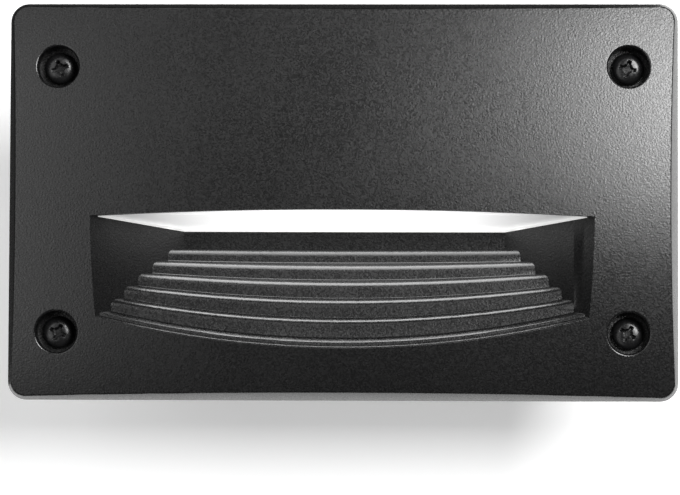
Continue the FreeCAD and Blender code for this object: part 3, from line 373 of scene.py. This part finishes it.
def screw_blank(name, head_r, head_h, shank_r, length, pitch, wing, slot, depth, segments=96):
    """Screw along +Y with its seat at the origin: head towards -Y, thread towards +Y."""
    work = bmesh.new()
    turn = np.linspace(0, 2 * math.pi, segments, endpoint=False)

    def ring(radius, height):
        return [work.verts.new((r * math.cos(a) * MM, y * MM, r * math.sin(a) * MM))
                for r, y, a in zip(np.broadcast_to(radius, segments),
                                   np.broadcast_to(height, segments), turn)]

    rings = []
    for r in np.linspace(HEAD_HUB, 1.0, HEAD_RINGS) * head_r:
        dome = head_h * (1 - (r / head_r) ** 3.4) ** (1 / 1.9) * HEAD_DOME + head_h * HEAD_RIM
        # The recess is a cross of sloping walls, whose arms run out at their tips, round a well.
        x, z = r * np.cos(turn), r * np.sin(turn)
        arm = np.maximum(np.where(np.abs(z) < np.abs(x), np.abs(x), np.abs(z)), 1e-6)
        off = np.minimum(np.abs(x), np.abs(z))
        wall = np.clip((slot / 2 - off) / (0.2 * slot) + 0.5, 0, 1)
        reach = np.clip((wing - arm) / (0.4 * wing), 0, 1)
        well = np.clip((0.62 * wing - r) / (0.25 * wing), 0, 1)
        sunk = depth * np.maximum(wall * np.minimum(reach * 1.4, 1), well)
        rings.append(ring(r, -(dome - sunk)))
    rings.append(ring(head_r, 0.0))
    rings.append(ring(shank_r * 1.02, 0.0))
    steps = int(length / pitch * RINGS_PER_TURN)
    for i in range(1, steps + 1):
        y = length * i / steps
        phase = (y / pitch - turn / (2 * math.pi)) % 1.0
        ridge = 1 - np.abs(2 * phase - 1)
        fade = min(1.0, (length - y) / pitch)
        radius = shank_r * (1 - THREAD_DEPTH * (1 - ridge)) - TIP_TAPER * shank_r * (1 - fade)
        rings.append(ring(radius, y))
    for low, high in zip(rings, rings[1:]):
        for i in range(segments):
            j = (i + 1) % segments
            work.faces.new((low[i], low[j], high[j], high[i]))
    for end in (rings[0], rings[-1]):
        middle = work.verts.new(sum((v.co for v in end), Vector()) / segments)
        for i in range(segments):
            work.faces.new((end[i], end[(i + 1) % segments], middle))
    bmesh.ops.recalc_face_normals(work, faces=work.faces)
    mesh = bpy.data.meshes.new(name)
    work.to_mesh(mesh)
    work.free()
    mesh.polygons.foreach_set("use_smooth", [True] * len(mesh.polygons))
    mesh.set_sharp_from_angle(angle=math.radians(50))
    return bpy.data.objects.new(name, mesh)


def make_fitting_tree(name):
    """Geometry Nodes: puts a blank on every point, turned by the point's own rotation."""
    tree = bpy.data.node_groups.new(name, "GeometryNodeTree")
    tree.interface.new_socket("Geometry", in_out="INPUT", socket_type="NodeSocketGeometry")
    tree.interface.new_socket("Blank", in_out="INPUT", socket_type="NodeSocketObject")
    tree.interface.new_socket("Finish", in_out="INPUT", socket_type="NodeSocketMaterial")
    tree.interface.new_socket("Geometry", in_out="OUTPUT", socket_type="NodeSocketGeometry")
    start, end = tree.nodes.new("NodeGroupInput"), tree.nodes.new("NodeGroupOutput")
    blank = add_node(tree, "GeometryNodeObjectInfo", start.outputs["Blank"])
    turn = tree.nodes.new("GeometryNodeInputNamedAttribute")
    turn.data_type = "FLOAT_VECTOR"
    turn.inputs["Name"].default_value = "turn"
    points = add_node(tree, "GeometryNodeInstanceOnPoints")
    tree.links.new(start.outputs["Geometry"], points.inputs["Points"])
    tree.links.new(blank.outputs["Geometry"], points.inputs["Instance"])
    tree.links.new(turn.outputs["Attribute"], points.inputs["Rotation"])
    real = add_node(tree, "GeometryNodeRealizeInstances", points.outputs["Instances"])
    painted = add_node(tree, "GeometryNodeSetMaterial", real.outputs["Geometry"])
    tree.links.new(start.outputs["Finish"], painted.inputs["Material"])
    tree.links.new(painted.outputs["Geometry"], end.inputs["Geometry"])
    return tree


fitting_tree = make_fitting_tree("fit_on_points")


def fit_copies(name, blank, finish, seats):
    """One mesh of the blank's copies; seats holds a place and an Euler rotation for each."""
    mesh = bpy.data.meshes.new(name)
    mesh.from_pydata([place for place, rotation in seats], [], [])
    turn = mesh.attributes.new("turn", "FLOAT_VECTOR", "POINT")
    turn.data.foreach_set("vector", [angle for place, rotation in seats for angle in rotation])
    piece = bpy.data.objects.new(name, mesh)
    bpy.context.scene.collection.objects.link(piece)
    fitter = piece.modifiers.new("fit", "NODES")
    fitter.node_group = fitting_tree
    for item in fitting_tree.interface.items_tree:
        if item.in_out == "INPUT" and item.name == "Blank":
            fitter[item.identifier] = blank
        elif item.in_out == "INPUT" and item.name == "Finish":
            fitter[item.identifier] = finish
    graph = bpy.context.evaluated_depsgraph_get()
    made = bpy.data.meshes.new_from_object(piece.evaluated_get(graph))
    piece.modifiers.remove(fitter)
    piece.data = made
    return piece


def middle_of(node):
    """The middle of a CAD node's box."""
    low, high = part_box(node)
    return [(a + b) / 2 for a, b in zip(low, high)]


def glossy_black():
    """Smooth black lacquer, a little worn."""
    material, tree, shader, place = new_material("screw_black", 0.2)
    shader.inputs["Base Color"].default_value = (0.006, 0.006, 0.0063, 1.0)
    shader.inputs["Specular IOR Level"].default_value = 0.42
    worn = spread(tree, noise(tree, place, 0.9, 3.0), 0.35, 0.7, 0.22, 0.36)
    tree.links.new(worn, shader.inputs["Roughness"])
    bump(tree, shader, noise(tree, place, 2.5), 0.12, 0.03 * MM)
    return material


SCREW_TURNS = (-18.0, 14.0, 24.0, 31.0)
CUP_FLOOR = 0.3
face_screw_blank = screw_blank("face_screw_blank", head_r=5.6, head_h=3.1, shank_r=2.5, length=16.0,
                               pitch=0.8, wing=2.9, slot=1.15, depth=2.4)
screw_finish = glossy_black()
for number, angle in enumerate(SCREW_TURNS, 1):
    place = middle_of(f"face_screw_{number}")
    place[1] = CUP_FLOOR * MM
    screw = fit_copies(f"face_screw_threaded_{number}", face_screw_blank, screw_finish,
                       [(place, (0.0, math.radians(angle), 0.0))])
    finish_piece(screw, screw_finish, f"screw_{number}", "screw_black", f"face_screw_{number}")


# ---- lens gasket, clips and their screws ----
# A flat silicone seal lies under the glass. Two bent steel strips press the glass down, and a
# small zinc-plated screw holds each of them to a boss of the casting.
def plain_finish(name, colour, roughness, metallic=0.0, per_mm=0.5, shade=0.85, relief=0.15):
    """A finish with a slight drift of colour and gloss and a fine relief."""
    material, tree, shader, place = new_material(name, roughness, metallic)
    drift = noise(tree, place, per_mm, 3.0)
    dark = tuple(channel * shade for channel in colour)
    tree.links.new(blend_colour(tree, drift, dark, colour), shader.inputs["Base Color"])
    rough = spread(tree, drift, 0.3, 0.7, max(roughness - 0.06, 0.03), roughness + 0.06)
    tree.links.new(rough, shader.inputs["Roughness"])
    bump(tree, shader, noise(tree, place, 4 * per_mm), relief, 0.05 * MM)
    return material


def eased_copy(node, name, radius):
    """A copy of a CAD node with whole flat faces and slightly rounded edges."""
    piece = welded_copy(node, name, 30)
    work = bmesh.new()
    work.from_mesh(piece.data)
    bmesh.ops.dissolve_limit(work, angle_limit=math.radians(0.5), verts=work.verts, edges=work.edges)
    corners = [edge for edge in work.edges
               if len(edge.link_faces) == 2 and edge.calc_face_angle(0.0) > math.radians(40)]
    bmesh.ops.bevel(work, geom=corners, offset=radius * MM, segments=2, profile=0.5,
                    affect="EDGES", clamp_overlap=True)
    work.to_mesh(piece.data)
    work.free()
    piece.data.polygons.foreach_set("use_smooth", [True] * len(piece.data.polygons))
    piece.data.set_sharp_from_angle(angle=math.radians(30))
    return piece


def dress(node, name, radius, material, slot, body="housing"):
    """Puts an eased copy with its finish in a CAD node's place."""
    finish_piece(eased_copy(node, name, radius), material, body, slot, node)


X, Y, Z = 0, 1, 2
LOW, HIGH = 0, 1


def seat_on(node, end, axis, turn=(0.0, 0.0, 0.0), lift=0.0):
    """A seat in the middle of one end of a CAD node's box, lifted along the axis by millimetres."""
    place = middle_of(node)
    place[axis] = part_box(node)[end][axis] + lift * MM
    return place, turn


CLIP_HEAD = 1.95
silicone = plain_finish("silicone", (0.80, 0.80, 0.78), 0.45)
# Painted light: the white seal glows faintly, though it is no lamp.
silicone_shader = silicone.node_tree.nodes["Principled BSDF"]
silicone_shader.inputs["Emission Color"].default_value = (1.0, 1.0, 1.0, 1.0)
silicone_shader.inputs["Emission Strength"].default_value = 0.4
zinc = plain_finish("zinc_plate", (0.62, 0.62, 0.63), 0.30, 1.0)
finish_piece(welded_copy("lens_gasket", "lens_seal", 30), silicone, "cover", "seal_white",
             "lens_gasket")
for number in (1, 2):
    dress(f"lens_clip_{number}", f"lens_spring_{number}", 0.15, zinc, "steel", "cover")
clip_blank = screw_blank("clip_screw_blank", head_r=2.85, head_h=CLIP_HEAD, shank_r=1.5, length=9.0,
                         pitch=0.5, wing=1.5, slot=0.6, depth=0.9, segments=48)
clip_seats = [seat_on(f"clip_screw_{number}", HIGH, Y, (math.pi, 0.4 * number, 0.0), -CLIP_HEAD)
              for number in (1, 2)]
finish_piece(fit_copies("clip_screws_threaded", clip_blank, zinc, clip_seats), zinc, "cover",
             "steel", "clip_screw_1", "clip_screw_2")


# ---- washers and thread inserts ----
# A soft ring seals each face screw in its cup and lifts out with it. Behind each screw a knurled
# brass insert is pressed into a lug of the box.
def turned_blank(name, rings, closed=True, segments=96):
    """A piece turned about +Y; each ring is a place along Y and a radius, both in millimetres.

    A radius may be a number or a function of the angle, so that hexagons and knurls fit in."""
    angle = np.linspace(0, 2 * math.pi, segments, endpoint=False)
    work = bmesh.new()
    rows = []
    for along, radius in rings:
        reach = radius(angle) if callable(radius) else np.full(segments, radius)
        rows.append([work.verts.new((r * math.cos(a) * MM, along * MM, r * math.sin(a) * MM))
                     for r, a in zip(reach, angle)])
    pairs = list(zip(rows, rows[1:] + rows[:1])) if closed else list(zip(rows, rows[1:]))
    for low, high in pairs:
        for i in range(segments):
            j = (i + 1) % segments
            work.faces.new((low[i], low[j], high[j], high[i]))
    if not closed:
        work.faces.new(rows[0])
        work.faces.new(rows[-1])
    bmesh.ops.recalc_face_normals(work, faces=work.faces)
    mesh = bpy.data.meshes.new(name)
    work.to_mesh(mesh)
    work.free()
    mesh.polygons.foreach_set("use_smooth", [True] * len(mesh.polygons))
    mesh.set_sharp_from_angle(angle=math.radians(32))
    return bpy.data.objects.new(name, mesh)


def knurl(radius, teeth=32, depth=0.35):
    """Radius of a straight knurl, for turned_blank."""
    return lambda a: radius - depth * np.abs(((a * teeth / (2 * math.pi)) % 1.0) * 2 - 1)


def thread_rings(start, end, radius, pitch, outward=True, step=0.18):
    """Rings of a screw thread, whose crest has the given radius when it points outward."""
    sign = 1.0 if outward else -1.0
    rings = []
    for along in np.arange(start, end, step * pitch):
        def reach(a, along=along):
            phase = (along / pitch - a / (2 * math.pi)) % 1.0
            return radius - sign * 0.45 * pitch * np.abs(2 * phase - 1)
        rings.append((along, reach))
    return rings


WASHER_R = 5.8
WASHER_T = 1.2
WASHER_EASE = 0.3
BORE_R = 2.55
INSERT_R = 3.6
INSERT_L = 8.0
INSERT_PITCH = 0.8
INSERT_MOUTH = 0.3
GROOVE = (3.4, 4.4)
GROOVE_R = INSERT_R - 0.4
KNURL = (0.9, 7.2)
rubber = plain_finish("sealing_rubber", (0.02, 0.02, 0.02), 0.65)
brass = plain_finish("turned_brass", (0.74, 0.53, 0.24), 0.28, 1.0)
washer_blank = turned_blank("washer_blank", [
    (0.0, BORE_R), (0.0, WASHER_R - WASHER_EASE), (WASHER_EASE, WASHER_R),
    (WASHER_T - WASHER_EASE, WASHER_R), (WASHER_T, WASHER_R - WASHER_EASE), (WASHER_T, BORE_R)])
for number in (1, 2, 3, 4):
    ring = fit_copies(f"seal_ring_{number}", washer_blank, rubber,
                      [seat_on(f"seal_washer_{number}", LOW, Y)])
    finish_piece(ring, rubber, f"washer_{number}", "seal_white", f"seal_washer_{number}")
insert_blank = turned_blank("insert_blank", [
    (0.0, BORE_R + INSERT_MOUTH), (0.0, INSERT_R - 0.3), (0.3, INSERT_R), (KNURL[0], INSERT_R),
    (KNURL[0], knurl(INSERT_R)), (GROOVE[0], knurl(INSERT_R)), (GROOVE[0], GROOVE_R),
    (GROOVE[1], GROOVE_R), (GROOVE[1], knurl(INSERT_R)), (KNURL[1], knurl(INSERT_R)),
    (KNURL[1], GROOVE_R), (INSERT_L, INSERT_R - 0.6), (INSERT_L, BORE_R + INSERT_MOUTH),
    *thread_rings(0.3, INSERT_L - 0.3, BORE_R, INSERT_PITCH, False)[::-1]])
insert_seats = [seat_on(f"thread_insert_{number}", LOW, Y) for number in (1, 2, 3, 4)]
finish_piece(fit_copies("knurled_inserts", insert_blank, brass, insert_seats), brass, "housing",
             "brass", *[f"thread_insert_{number}" for number in (1, 2, 3, 4)])


# ---- back box and its gasket ----
# A die-cast box with four lugs, stand-offs and hubs, in the same black coat as the plate. A ring
# of foam rubber lies on its rim.
box_paint = powder_black("box_paint", (0.012, 0.012, 0.0125), (0.03, 0.03, 0.031), 0.42)
foam = plain_finish("foam_rubber", (0.03, 0.03, 0.03), 0.85, per_mm=1.2, shade=0.6, relief=0.6)
finish_piece(welded_copy("back_box", "box_casting", 30), box_paint, "housing", "cast_black",
             "back_box")
dress("box_gasket", "foam_gasket", 0.25, foam, "seal_black")


# ---- gear tray and its screws ----
# A white-enamelled steel sheet on the box's stand-offs. All screws through it are alike but for
# their length, and each is a threaded copy of a blank.
GEAR_HEAD_R = 3.8
GEAR_HEAD = 2.47
GEAR_SHANK_R = 1.9
GEAR_PITCH = 0.7


def fixing_screws(name, nodes, length):
    """Threaded pan-head screws in place of like CAD screws that point along +Y."""
    blank = screw_blank(name + "_blank", GEAR_HEAD_R, GEAR_HEAD, GEAR_SHANK_R, length, GEAR_PITCH,
                        wing=0.52 * GEAR_HEAD_R, slot=0.22 * GEAR_HEAD_R, depth=0.5 * GEAR_HEAD,
                        segments=48)
    seats = [seat_on(node, LOW, Y, (0.0, 0.7 * number, 0.0), GEAR_HEAD)
             for number, node in enumerate(nodes)]
    finish_piece(fit_copies(name, blank, zinc, seats), zinc, "housing", "steel", *nodes)


enamel = plain_finish("white_enamel", (0.84, 0.84, 0.83), 0.32)
dress("gear_tray", "tray_sheet", 0.2, enamel, "steel")
fixing_screws("tray_screws", [f"tray_screw_{number}" for number in (1, 2, 3, 4)], 9.0)


# ---- driver ----
# A two-part plastic case that two screws hold on the tray. Its board carries a wound coil, taped
# yellow, and a capacitor in a dark blue sleeve.
driver_shell = plain_finish("driver_plastic", (0.70, 0.70, 0.68), 0.5)
solder_mask = plain_finish("solder_mask", (0.02, 0.18, 0.07), 0.3)
coil_tape = plain_finish("coil_tape", (0.75, 0.58, 0.10), 0.35)
sleeve = plain_finish("capacitor_sleeve", (0.02, 0.04, 0.13), 0.25)
dress("driver_case", "driver_tub", 0.4, driver_shell, "driver_plastic")
dress("driver_lid", "driver_cover", 0.5, driver_shell, "driver_plastic")
dress("driver_board", "driver_circuit", 0.1, solder_mask, "board_green")
dress("driver_coil", "wound_coil", 0.3, coil_tape, "coil_tape")
dress("driver_capacitor", "capacitor_can", 0.3, sleeve, "capacitor_sleeve")
fixing_screws("driver_screws", ["driver_screw_1", "driver_screw_2"], 5.7)


# ---- terminal block ----
# Three poles of white nylon on the tray beside the driver. Each pole has a slotted clamp screw
# of zinc-plated steel in a well.
nylon = plain_finish("nylon", (0.80, 0.79, 0.74), 0.45)
dress("terminal_block", "terminal_body", 0.3, nylon, "plug_plastic")
for number in (1, 2, 3):
    dress(f"terminal_screw_{number}", f"clamp_screw_{number}", 0.12, zinc, "steel")


# ---- light source ----
# An aluminium angle carries a white board with four LEDs over the lens, between the cheeks of a
# white reflector. Each LED has a yellow phosphor window and two solder pads.
def lit_phosphor():
    """Yellow phosphor that glows white."""
    material, tree, shader, place = new_material("phosphor", 0.3)
    shader.inputs["Base Color"].default_value = (0.92, 0.72, 0.16, 1.0)
    shader.inputs["Emission Color"].default_value = (1.0, 0.93, 0.80, 1.0)
    shader.inputs["Emission Strength"].default_value = 2.0
    uneven = spread(tree, noise(tree, place, 3.0), 0.3, 0.7, 0.25, 0.4)
    tree.links.new(uneven, shader.inputs["Roughness"])
    return material


TURN_TO_Z = (-math.pi / 2, 0.0, 0.0)
PAD_FROM_MIDDLE = 4.6
aluminium = plain_finish("mill_aluminium", (0.75, 0.76, 0.78), 0.36, 1.0)
white_mask = plain_finish("white_mask", (0.86, 0.86, 0.85), 0.3)
ceramic = plain_finish("led_ceramic", (0.88, 0.86, 0.78), 0.4)
solder = plain_finish("solder", (0.70, 0.70, 0.71), 0.25, 1.0)
dress("led_bracket", "led_angle", 0.3, aluminium, "aluminium")
fixing_screws("bracket_screws", ["bracket_screw_1", "bracket_screw_2"], 6.2)
dress("reflector", "reflector_sheet", 0.2, enamel, "white_sheet")
dress("led_board", "led_strip", 0.1, white_mask, "board_white")
dress("led_plug", "strip_plug", 0.2, nylon, "plug_plastic")
for number in (1, 2, 3, 4):
    dress(f"led_chip_{number}", f"led_package_{number}", 0.15, ceramic, "led_emitter")
phosphor = lit_phosphor()
window_blank = turned_blank("window_blank", [(0.0, 2.3), (0.18, 2.15), (0.28, 1.6)], False, 48)
pad_blank = turned_blank("pad_blank", [(0.0, 0.9), (0.08, 0.9), (0.12, 0.8)], False, 24)
window_seats, pad_seats = [], []
for number in (1, 2, 3, 4):
    window_seats.append(seat_on(f"led_chip_{number}", LOW, Z, TURN_TO_Z))
    for side in (-1, 1):
        place, turn = seat_on(f"led_chip_{number}", HIGH, Z, TURN_TO_Z)
        place[X] += side * PAD_FROM_MIDDLE * MM
        pad_seats.append((place, turn))
finish_piece(fit_copies("led_windows", window_blank, phosphor, window_seats), phosphor, "housing",
             "led_emitter")
finish_piece(fit_copies("solder_pads", pad_blank, solder, pad_seats), solder, "housing", "steel")


# ---- cable gland and blanking plug ----
# The gland's body screws into the right-hand hub with a locknut inside the box and a cap nut that
# presses a rubber seal round the cord. The left-hand hub is closed by a plug.
def hexagon(corner_r, cut=0.0):
    """Radius of a hexagon whose corners are trimmed by cut, for turned_blank."""
    flat = corner_r * math.cos(math.pi / 6)
    return lambda a: np.minimum(
        flat / np.cos((a - math.pi / 2) % (math.pi / 3) - math.pi / 6), corner_r - cut)


TURN_TO_X = (0.0, 0.0, -math.pi / 2)
GLAND_HEX = 11.5
GLAND_PITCH = 1.5
HUB_THREAD_R = 8.0
CAP_THREAD_R = 8.2
GLAND_BORE_R = 5.2
CAP_BORE_R = 5.6
flats = hexagon(GLAND_HEX, 0.1)
body_chamfer = hexagon(GLAND_HEX, 0.7)
nut_chamfer = hexagon(GLAND_HEX, 0.8)
gland_nylon = plain_finish("gland_nylon", (0.03, 0.03, 0.032), 0.42)
grey_rubber = plain_finish("grey_rubber", (0.22, 0.22, 0.23), 0.7)
gland_body_blank = turned_blank("gland_body_blank", [
    (0.0, GLAND_BORE_R), (0.0, 7.3), *thread_rings(0.4, 13.4, HUB_THREAD_R, GLAND_PITCH),
    (13.5, 7.4), (14.0, 7.4), (14.0, body_chamfer), (14.5, flats), (19.5, flats),
    (20.0, body_chamfer), (20.0, 7.6), *thread_rings(20.2, 27.6, CAP_THREAD_R, GLAND_PITCH),
    (28.0, 7.5), (28.0, 6.7), (22.0, 6.7), (22.0, GLAND_BORE_R)])
gland_nut_blank = turned_blank("gland_nut_blank", [
    (0.0, 8.3), (0.0, nut_chamfer), (0.5, flats), (7.3, flats), (7.8, 9.9), (9.5, 9.6),
    (11.0, 8.9), (12.2, 8.0), (12.8, 7.2), (13.0, 6.6), (13.0, CAP_BORE_R), (7.0, CAP_BORE_R),
    (7.0, 8.3)])
locknut_blank = turned_blank("locknut_blank", [
    (0.0, 8.1), (0.0, nut_chamfer), (0.5, flats), (3.0, flats), (3.5, nut_chamfer), (3.5, 8.1)])
for node, blank in (("gland_body", gland_body_blank), ("gland_nut", gland_nut_blank),
                    ("gland_locknut", locknut_blank)):
    turned = fit_copies(node + "_turned", blank, gland_nylon, [seat_on(node, LOW, X, TURN_TO_X)])
    finish_piece(turned, gland_nylon, "housing", "gland_plastic", node)
dress("gland_seal", "cord_seal", 0.3, grey_rubber, "seal_grey")
dress("blanking_plug", "hub_plug", 0.4, gland_nylon, "gland_plastic")


# ---- earth point and leads ----
# A ring tag under a zinc screw earths the box. Two leads run from the driver to the LED board, two
# from the terminals to the driver, and one to the earth tag.
EARTH_HEAD = 2.6
INSULATION = {
    "lead_brown": (0.18, 0.07, 0.03),
    "lead_blue": (0.03, 0.11, 0.42),
    "lead_green": (0.05, 0.38, 0.08),
    "lead_red": (0.52, 0.03, 0.03),
    "lead_black": (0.03, 0.03, 0.03)}
tinned = plain_finish("tinned_copper", (0.72, 0.70, 0.66), 0.3, 1.0)
dress("earth_tag", "ring_tag", 0.1, tinned, "steel")
earth_blank = screw_blank("earth_screw_blank", head_r=4.0, head_h=EARTH_HEAD, shank_r=2.0, length=5.0,
                          pitch=0.7, wing=2.1, slot=0.9, depth=1.3, segments=48)
earth_seat = seat_on("earth_screw", HIGH, Z, TURN_TO_Z, -EARTH_HEAD)
finish_piece(fit_copies("earth_screw_threaded", earth_blank, zinc, [earth_seat]), zinc, "housing",
             "steel", "earth_screw")
slot_of = {part["node"]: part["material_slot"] for part in frame["record"]["subparts"]}
for node in ("led_lead_1", "led_lead_2", "supply_lead_1", "supply_lead_2", "earth_lead"):
    jacket = plain_finish(slot_of[node] + "_jacket", INSULATION[slot_of[node]], 0.38, per_mm=0.4)
    finish_piece(welded_copy(node, node + "_round", 40), jacket, "housing", slot_of[node], node)


# ---- studio ----
# A white board stands just behind the light and a pale floor lies far below it. The lamps are one
# large soft box at the upper right, a weaker one at the left and a faint one above it, over an
# even white world.
BOARD_GLOW = 0.42
FLOOR_GLOW = 1.0
MIRRORED_FROM_X = 120 * MM
MIRRORED_BELOW_Z = -70 * MM
WORLD_LIGHT = 0.07
WORLD_SEEN = 1.0


def seen_white(name, glow, mirrored_right):
    """Matt white for the camera alone and from the front, so that it adds no light to the plate.

    Its right side and its foot may also be mirrored in glossy paint, as a lit board would be."""
    material = bpy.data.materials.new(name)
    material.use_nodes = True
    tree = material.node_tree
    tree.nodes.clear()
    matt = add_node(tree, "ShaderNodeBsdfDiffuse", (0.8, 0.8, 0.8, 1.0)).outputs[0]
    shine = add_node(tree, "ShaderNodeEmission", (1.0, 1.0, 1.0, 1.0), glow).outputs[0]
    white = add_node(tree, "ShaderNodeAddShader", matt, shine).outputs[0]
    path = tree.nodes.new("ShaderNodeLightPath")
    shown = path.outputs["Is Camera Ray"]
    if mirrored_right:
        place = tree.nodes.new("ShaderNodeTexCoord").outputs["Object"]
        across = add_node(tree, "ShaderNodeSeparateXYZ", place)
        right = math_node(tree, "GREATER_THAN", across.outputs["X"], MIRRORED_FROM_X)
        below = math_node(tree, "LESS_THAN", across.outputs["Z"], MIRRORED_BELOW_Z)
        lit = math_node(tree, "MAXIMUM", right, below)
        mirrored = math_node(tree, "MULTIPLY", path.outputs["Is Glossy Ray"], lit)
        shown = math_node(tree, "MAXIMUM", shown, mirrored)
    behind = tree.nodes.new("ShaderNodeNewGeometry").outputs["Backfacing"]
    shown = math_node(tree, "MULTIPLY", shown, math_node(tree, "SUBTRACT", 1.0, behind))
    clear = tree.nodes.new("ShaderNodeBsdfTransparent").outputs[0]
    mixed = add_node(tree, "ShaderNodeMixShader", shown, clear, white).outputs[0]
    end = tree.nodes.new("ShaderNodeOutputMaterial")
    tree.links.new(mixed, end.inputs["Surface"])
    return material


def studio_sheet(name, material, corners):
    """A flat sheet of the studio, which is no part of the light."""
    mesh = bpy.data.meshes.new(name)
    mesh.from_pydata(corners, [], [(0, 1, 2, 3)])
    mesh.materials.append(material)
    sheet = bpy.data.objects.new(name, mesh)
    bpy.context.scene.collection.objects.link(sheet)


BOARD_Y = cad_box[1][1] + 0.5 * MM
REACH = 3.0
FLOOR_Z = -0.6
studio_sheet("white_board", seen_white("board_paint", BOARD_GLOW, True),
             [(-REACH, BOARD_Y, -REACH), (REACH, BOARD_Y, -REACH),
              (REACH, BOARD_Y, REACH), (-REACH, BOARD_Y, REACH)])
studio_sheet("floor", seen_white("floor_paint", FLOOR_GLOW, False),
             [(-REACH, -REACH, FLOOR_Z), (REACH, -REACH, FLOOR_Z),
              (REACH, REACH, FLOOR_Z), (-REACH, REACH, FLOOR_Z)])


def soft_box(name, right_deg, up_deg, distance, width, height, power):
    """Area lamp in a direction seen from the plate, aimed at the plate."""
    lamp = bpy.data.lights.new(name, "AREA")
    lamp.shape = "RECTANGLE"
    lamp.size = width
    lamp.size_y = height
    lamp.energy = power
    box = bpy.data.objects.new(name, lamp)
    a, e = math.radians(right_deg), math.radians(up_deg)
    place = Vector((math.sin(a) * math.cos(e), -math.cos(a) * math.cos(e), math.sin(e))) * distance
    box.matrix_world = Matrix.Translation(place) @ place.to_track_quat("Z", "Y").to_matrix().to_4x4()
    bpy.context.scene.collection.objects.link(box)


soft_box("key_box", right_deg=26.5, up_deg=17.0, distance=2.2, width=0.95, height=1.1, power=74.0)
soft_box("left_box", right_deg=-32.0, up_deg=5.0, distance=2.4, width=1.4, height=2.2, power=19.0)
soft_box("top_left_box", right_deg=-14.0, up_deg=42.0, distance=2.2, width=0.6, height=0.5, power=2.8)

world = bpy.data.worlds.new("white_world")
bpy.context.scene.world = world
world.use_nodes = True
air = world.node_tree
path = air.nodes.new("ShaderNodeLightPath")
seen = math_node(air, "MAXIMUM", path.outputs["Is Camera Ray"], path.outputs["Is Transmission Ray"])
backdrop = air.nodes["Background"]
air.links.new(spread(air, seen, 0.0, 1.0, WORLD_LIGHT, WORLD_SEEN), backdrop.inputs["Strength"])
backdrop.inputs["Color"].default_value = (1.0, 1.0, 1.0, 1.0)
bpy.context.scene.view_settings.view_transform = "Standard"
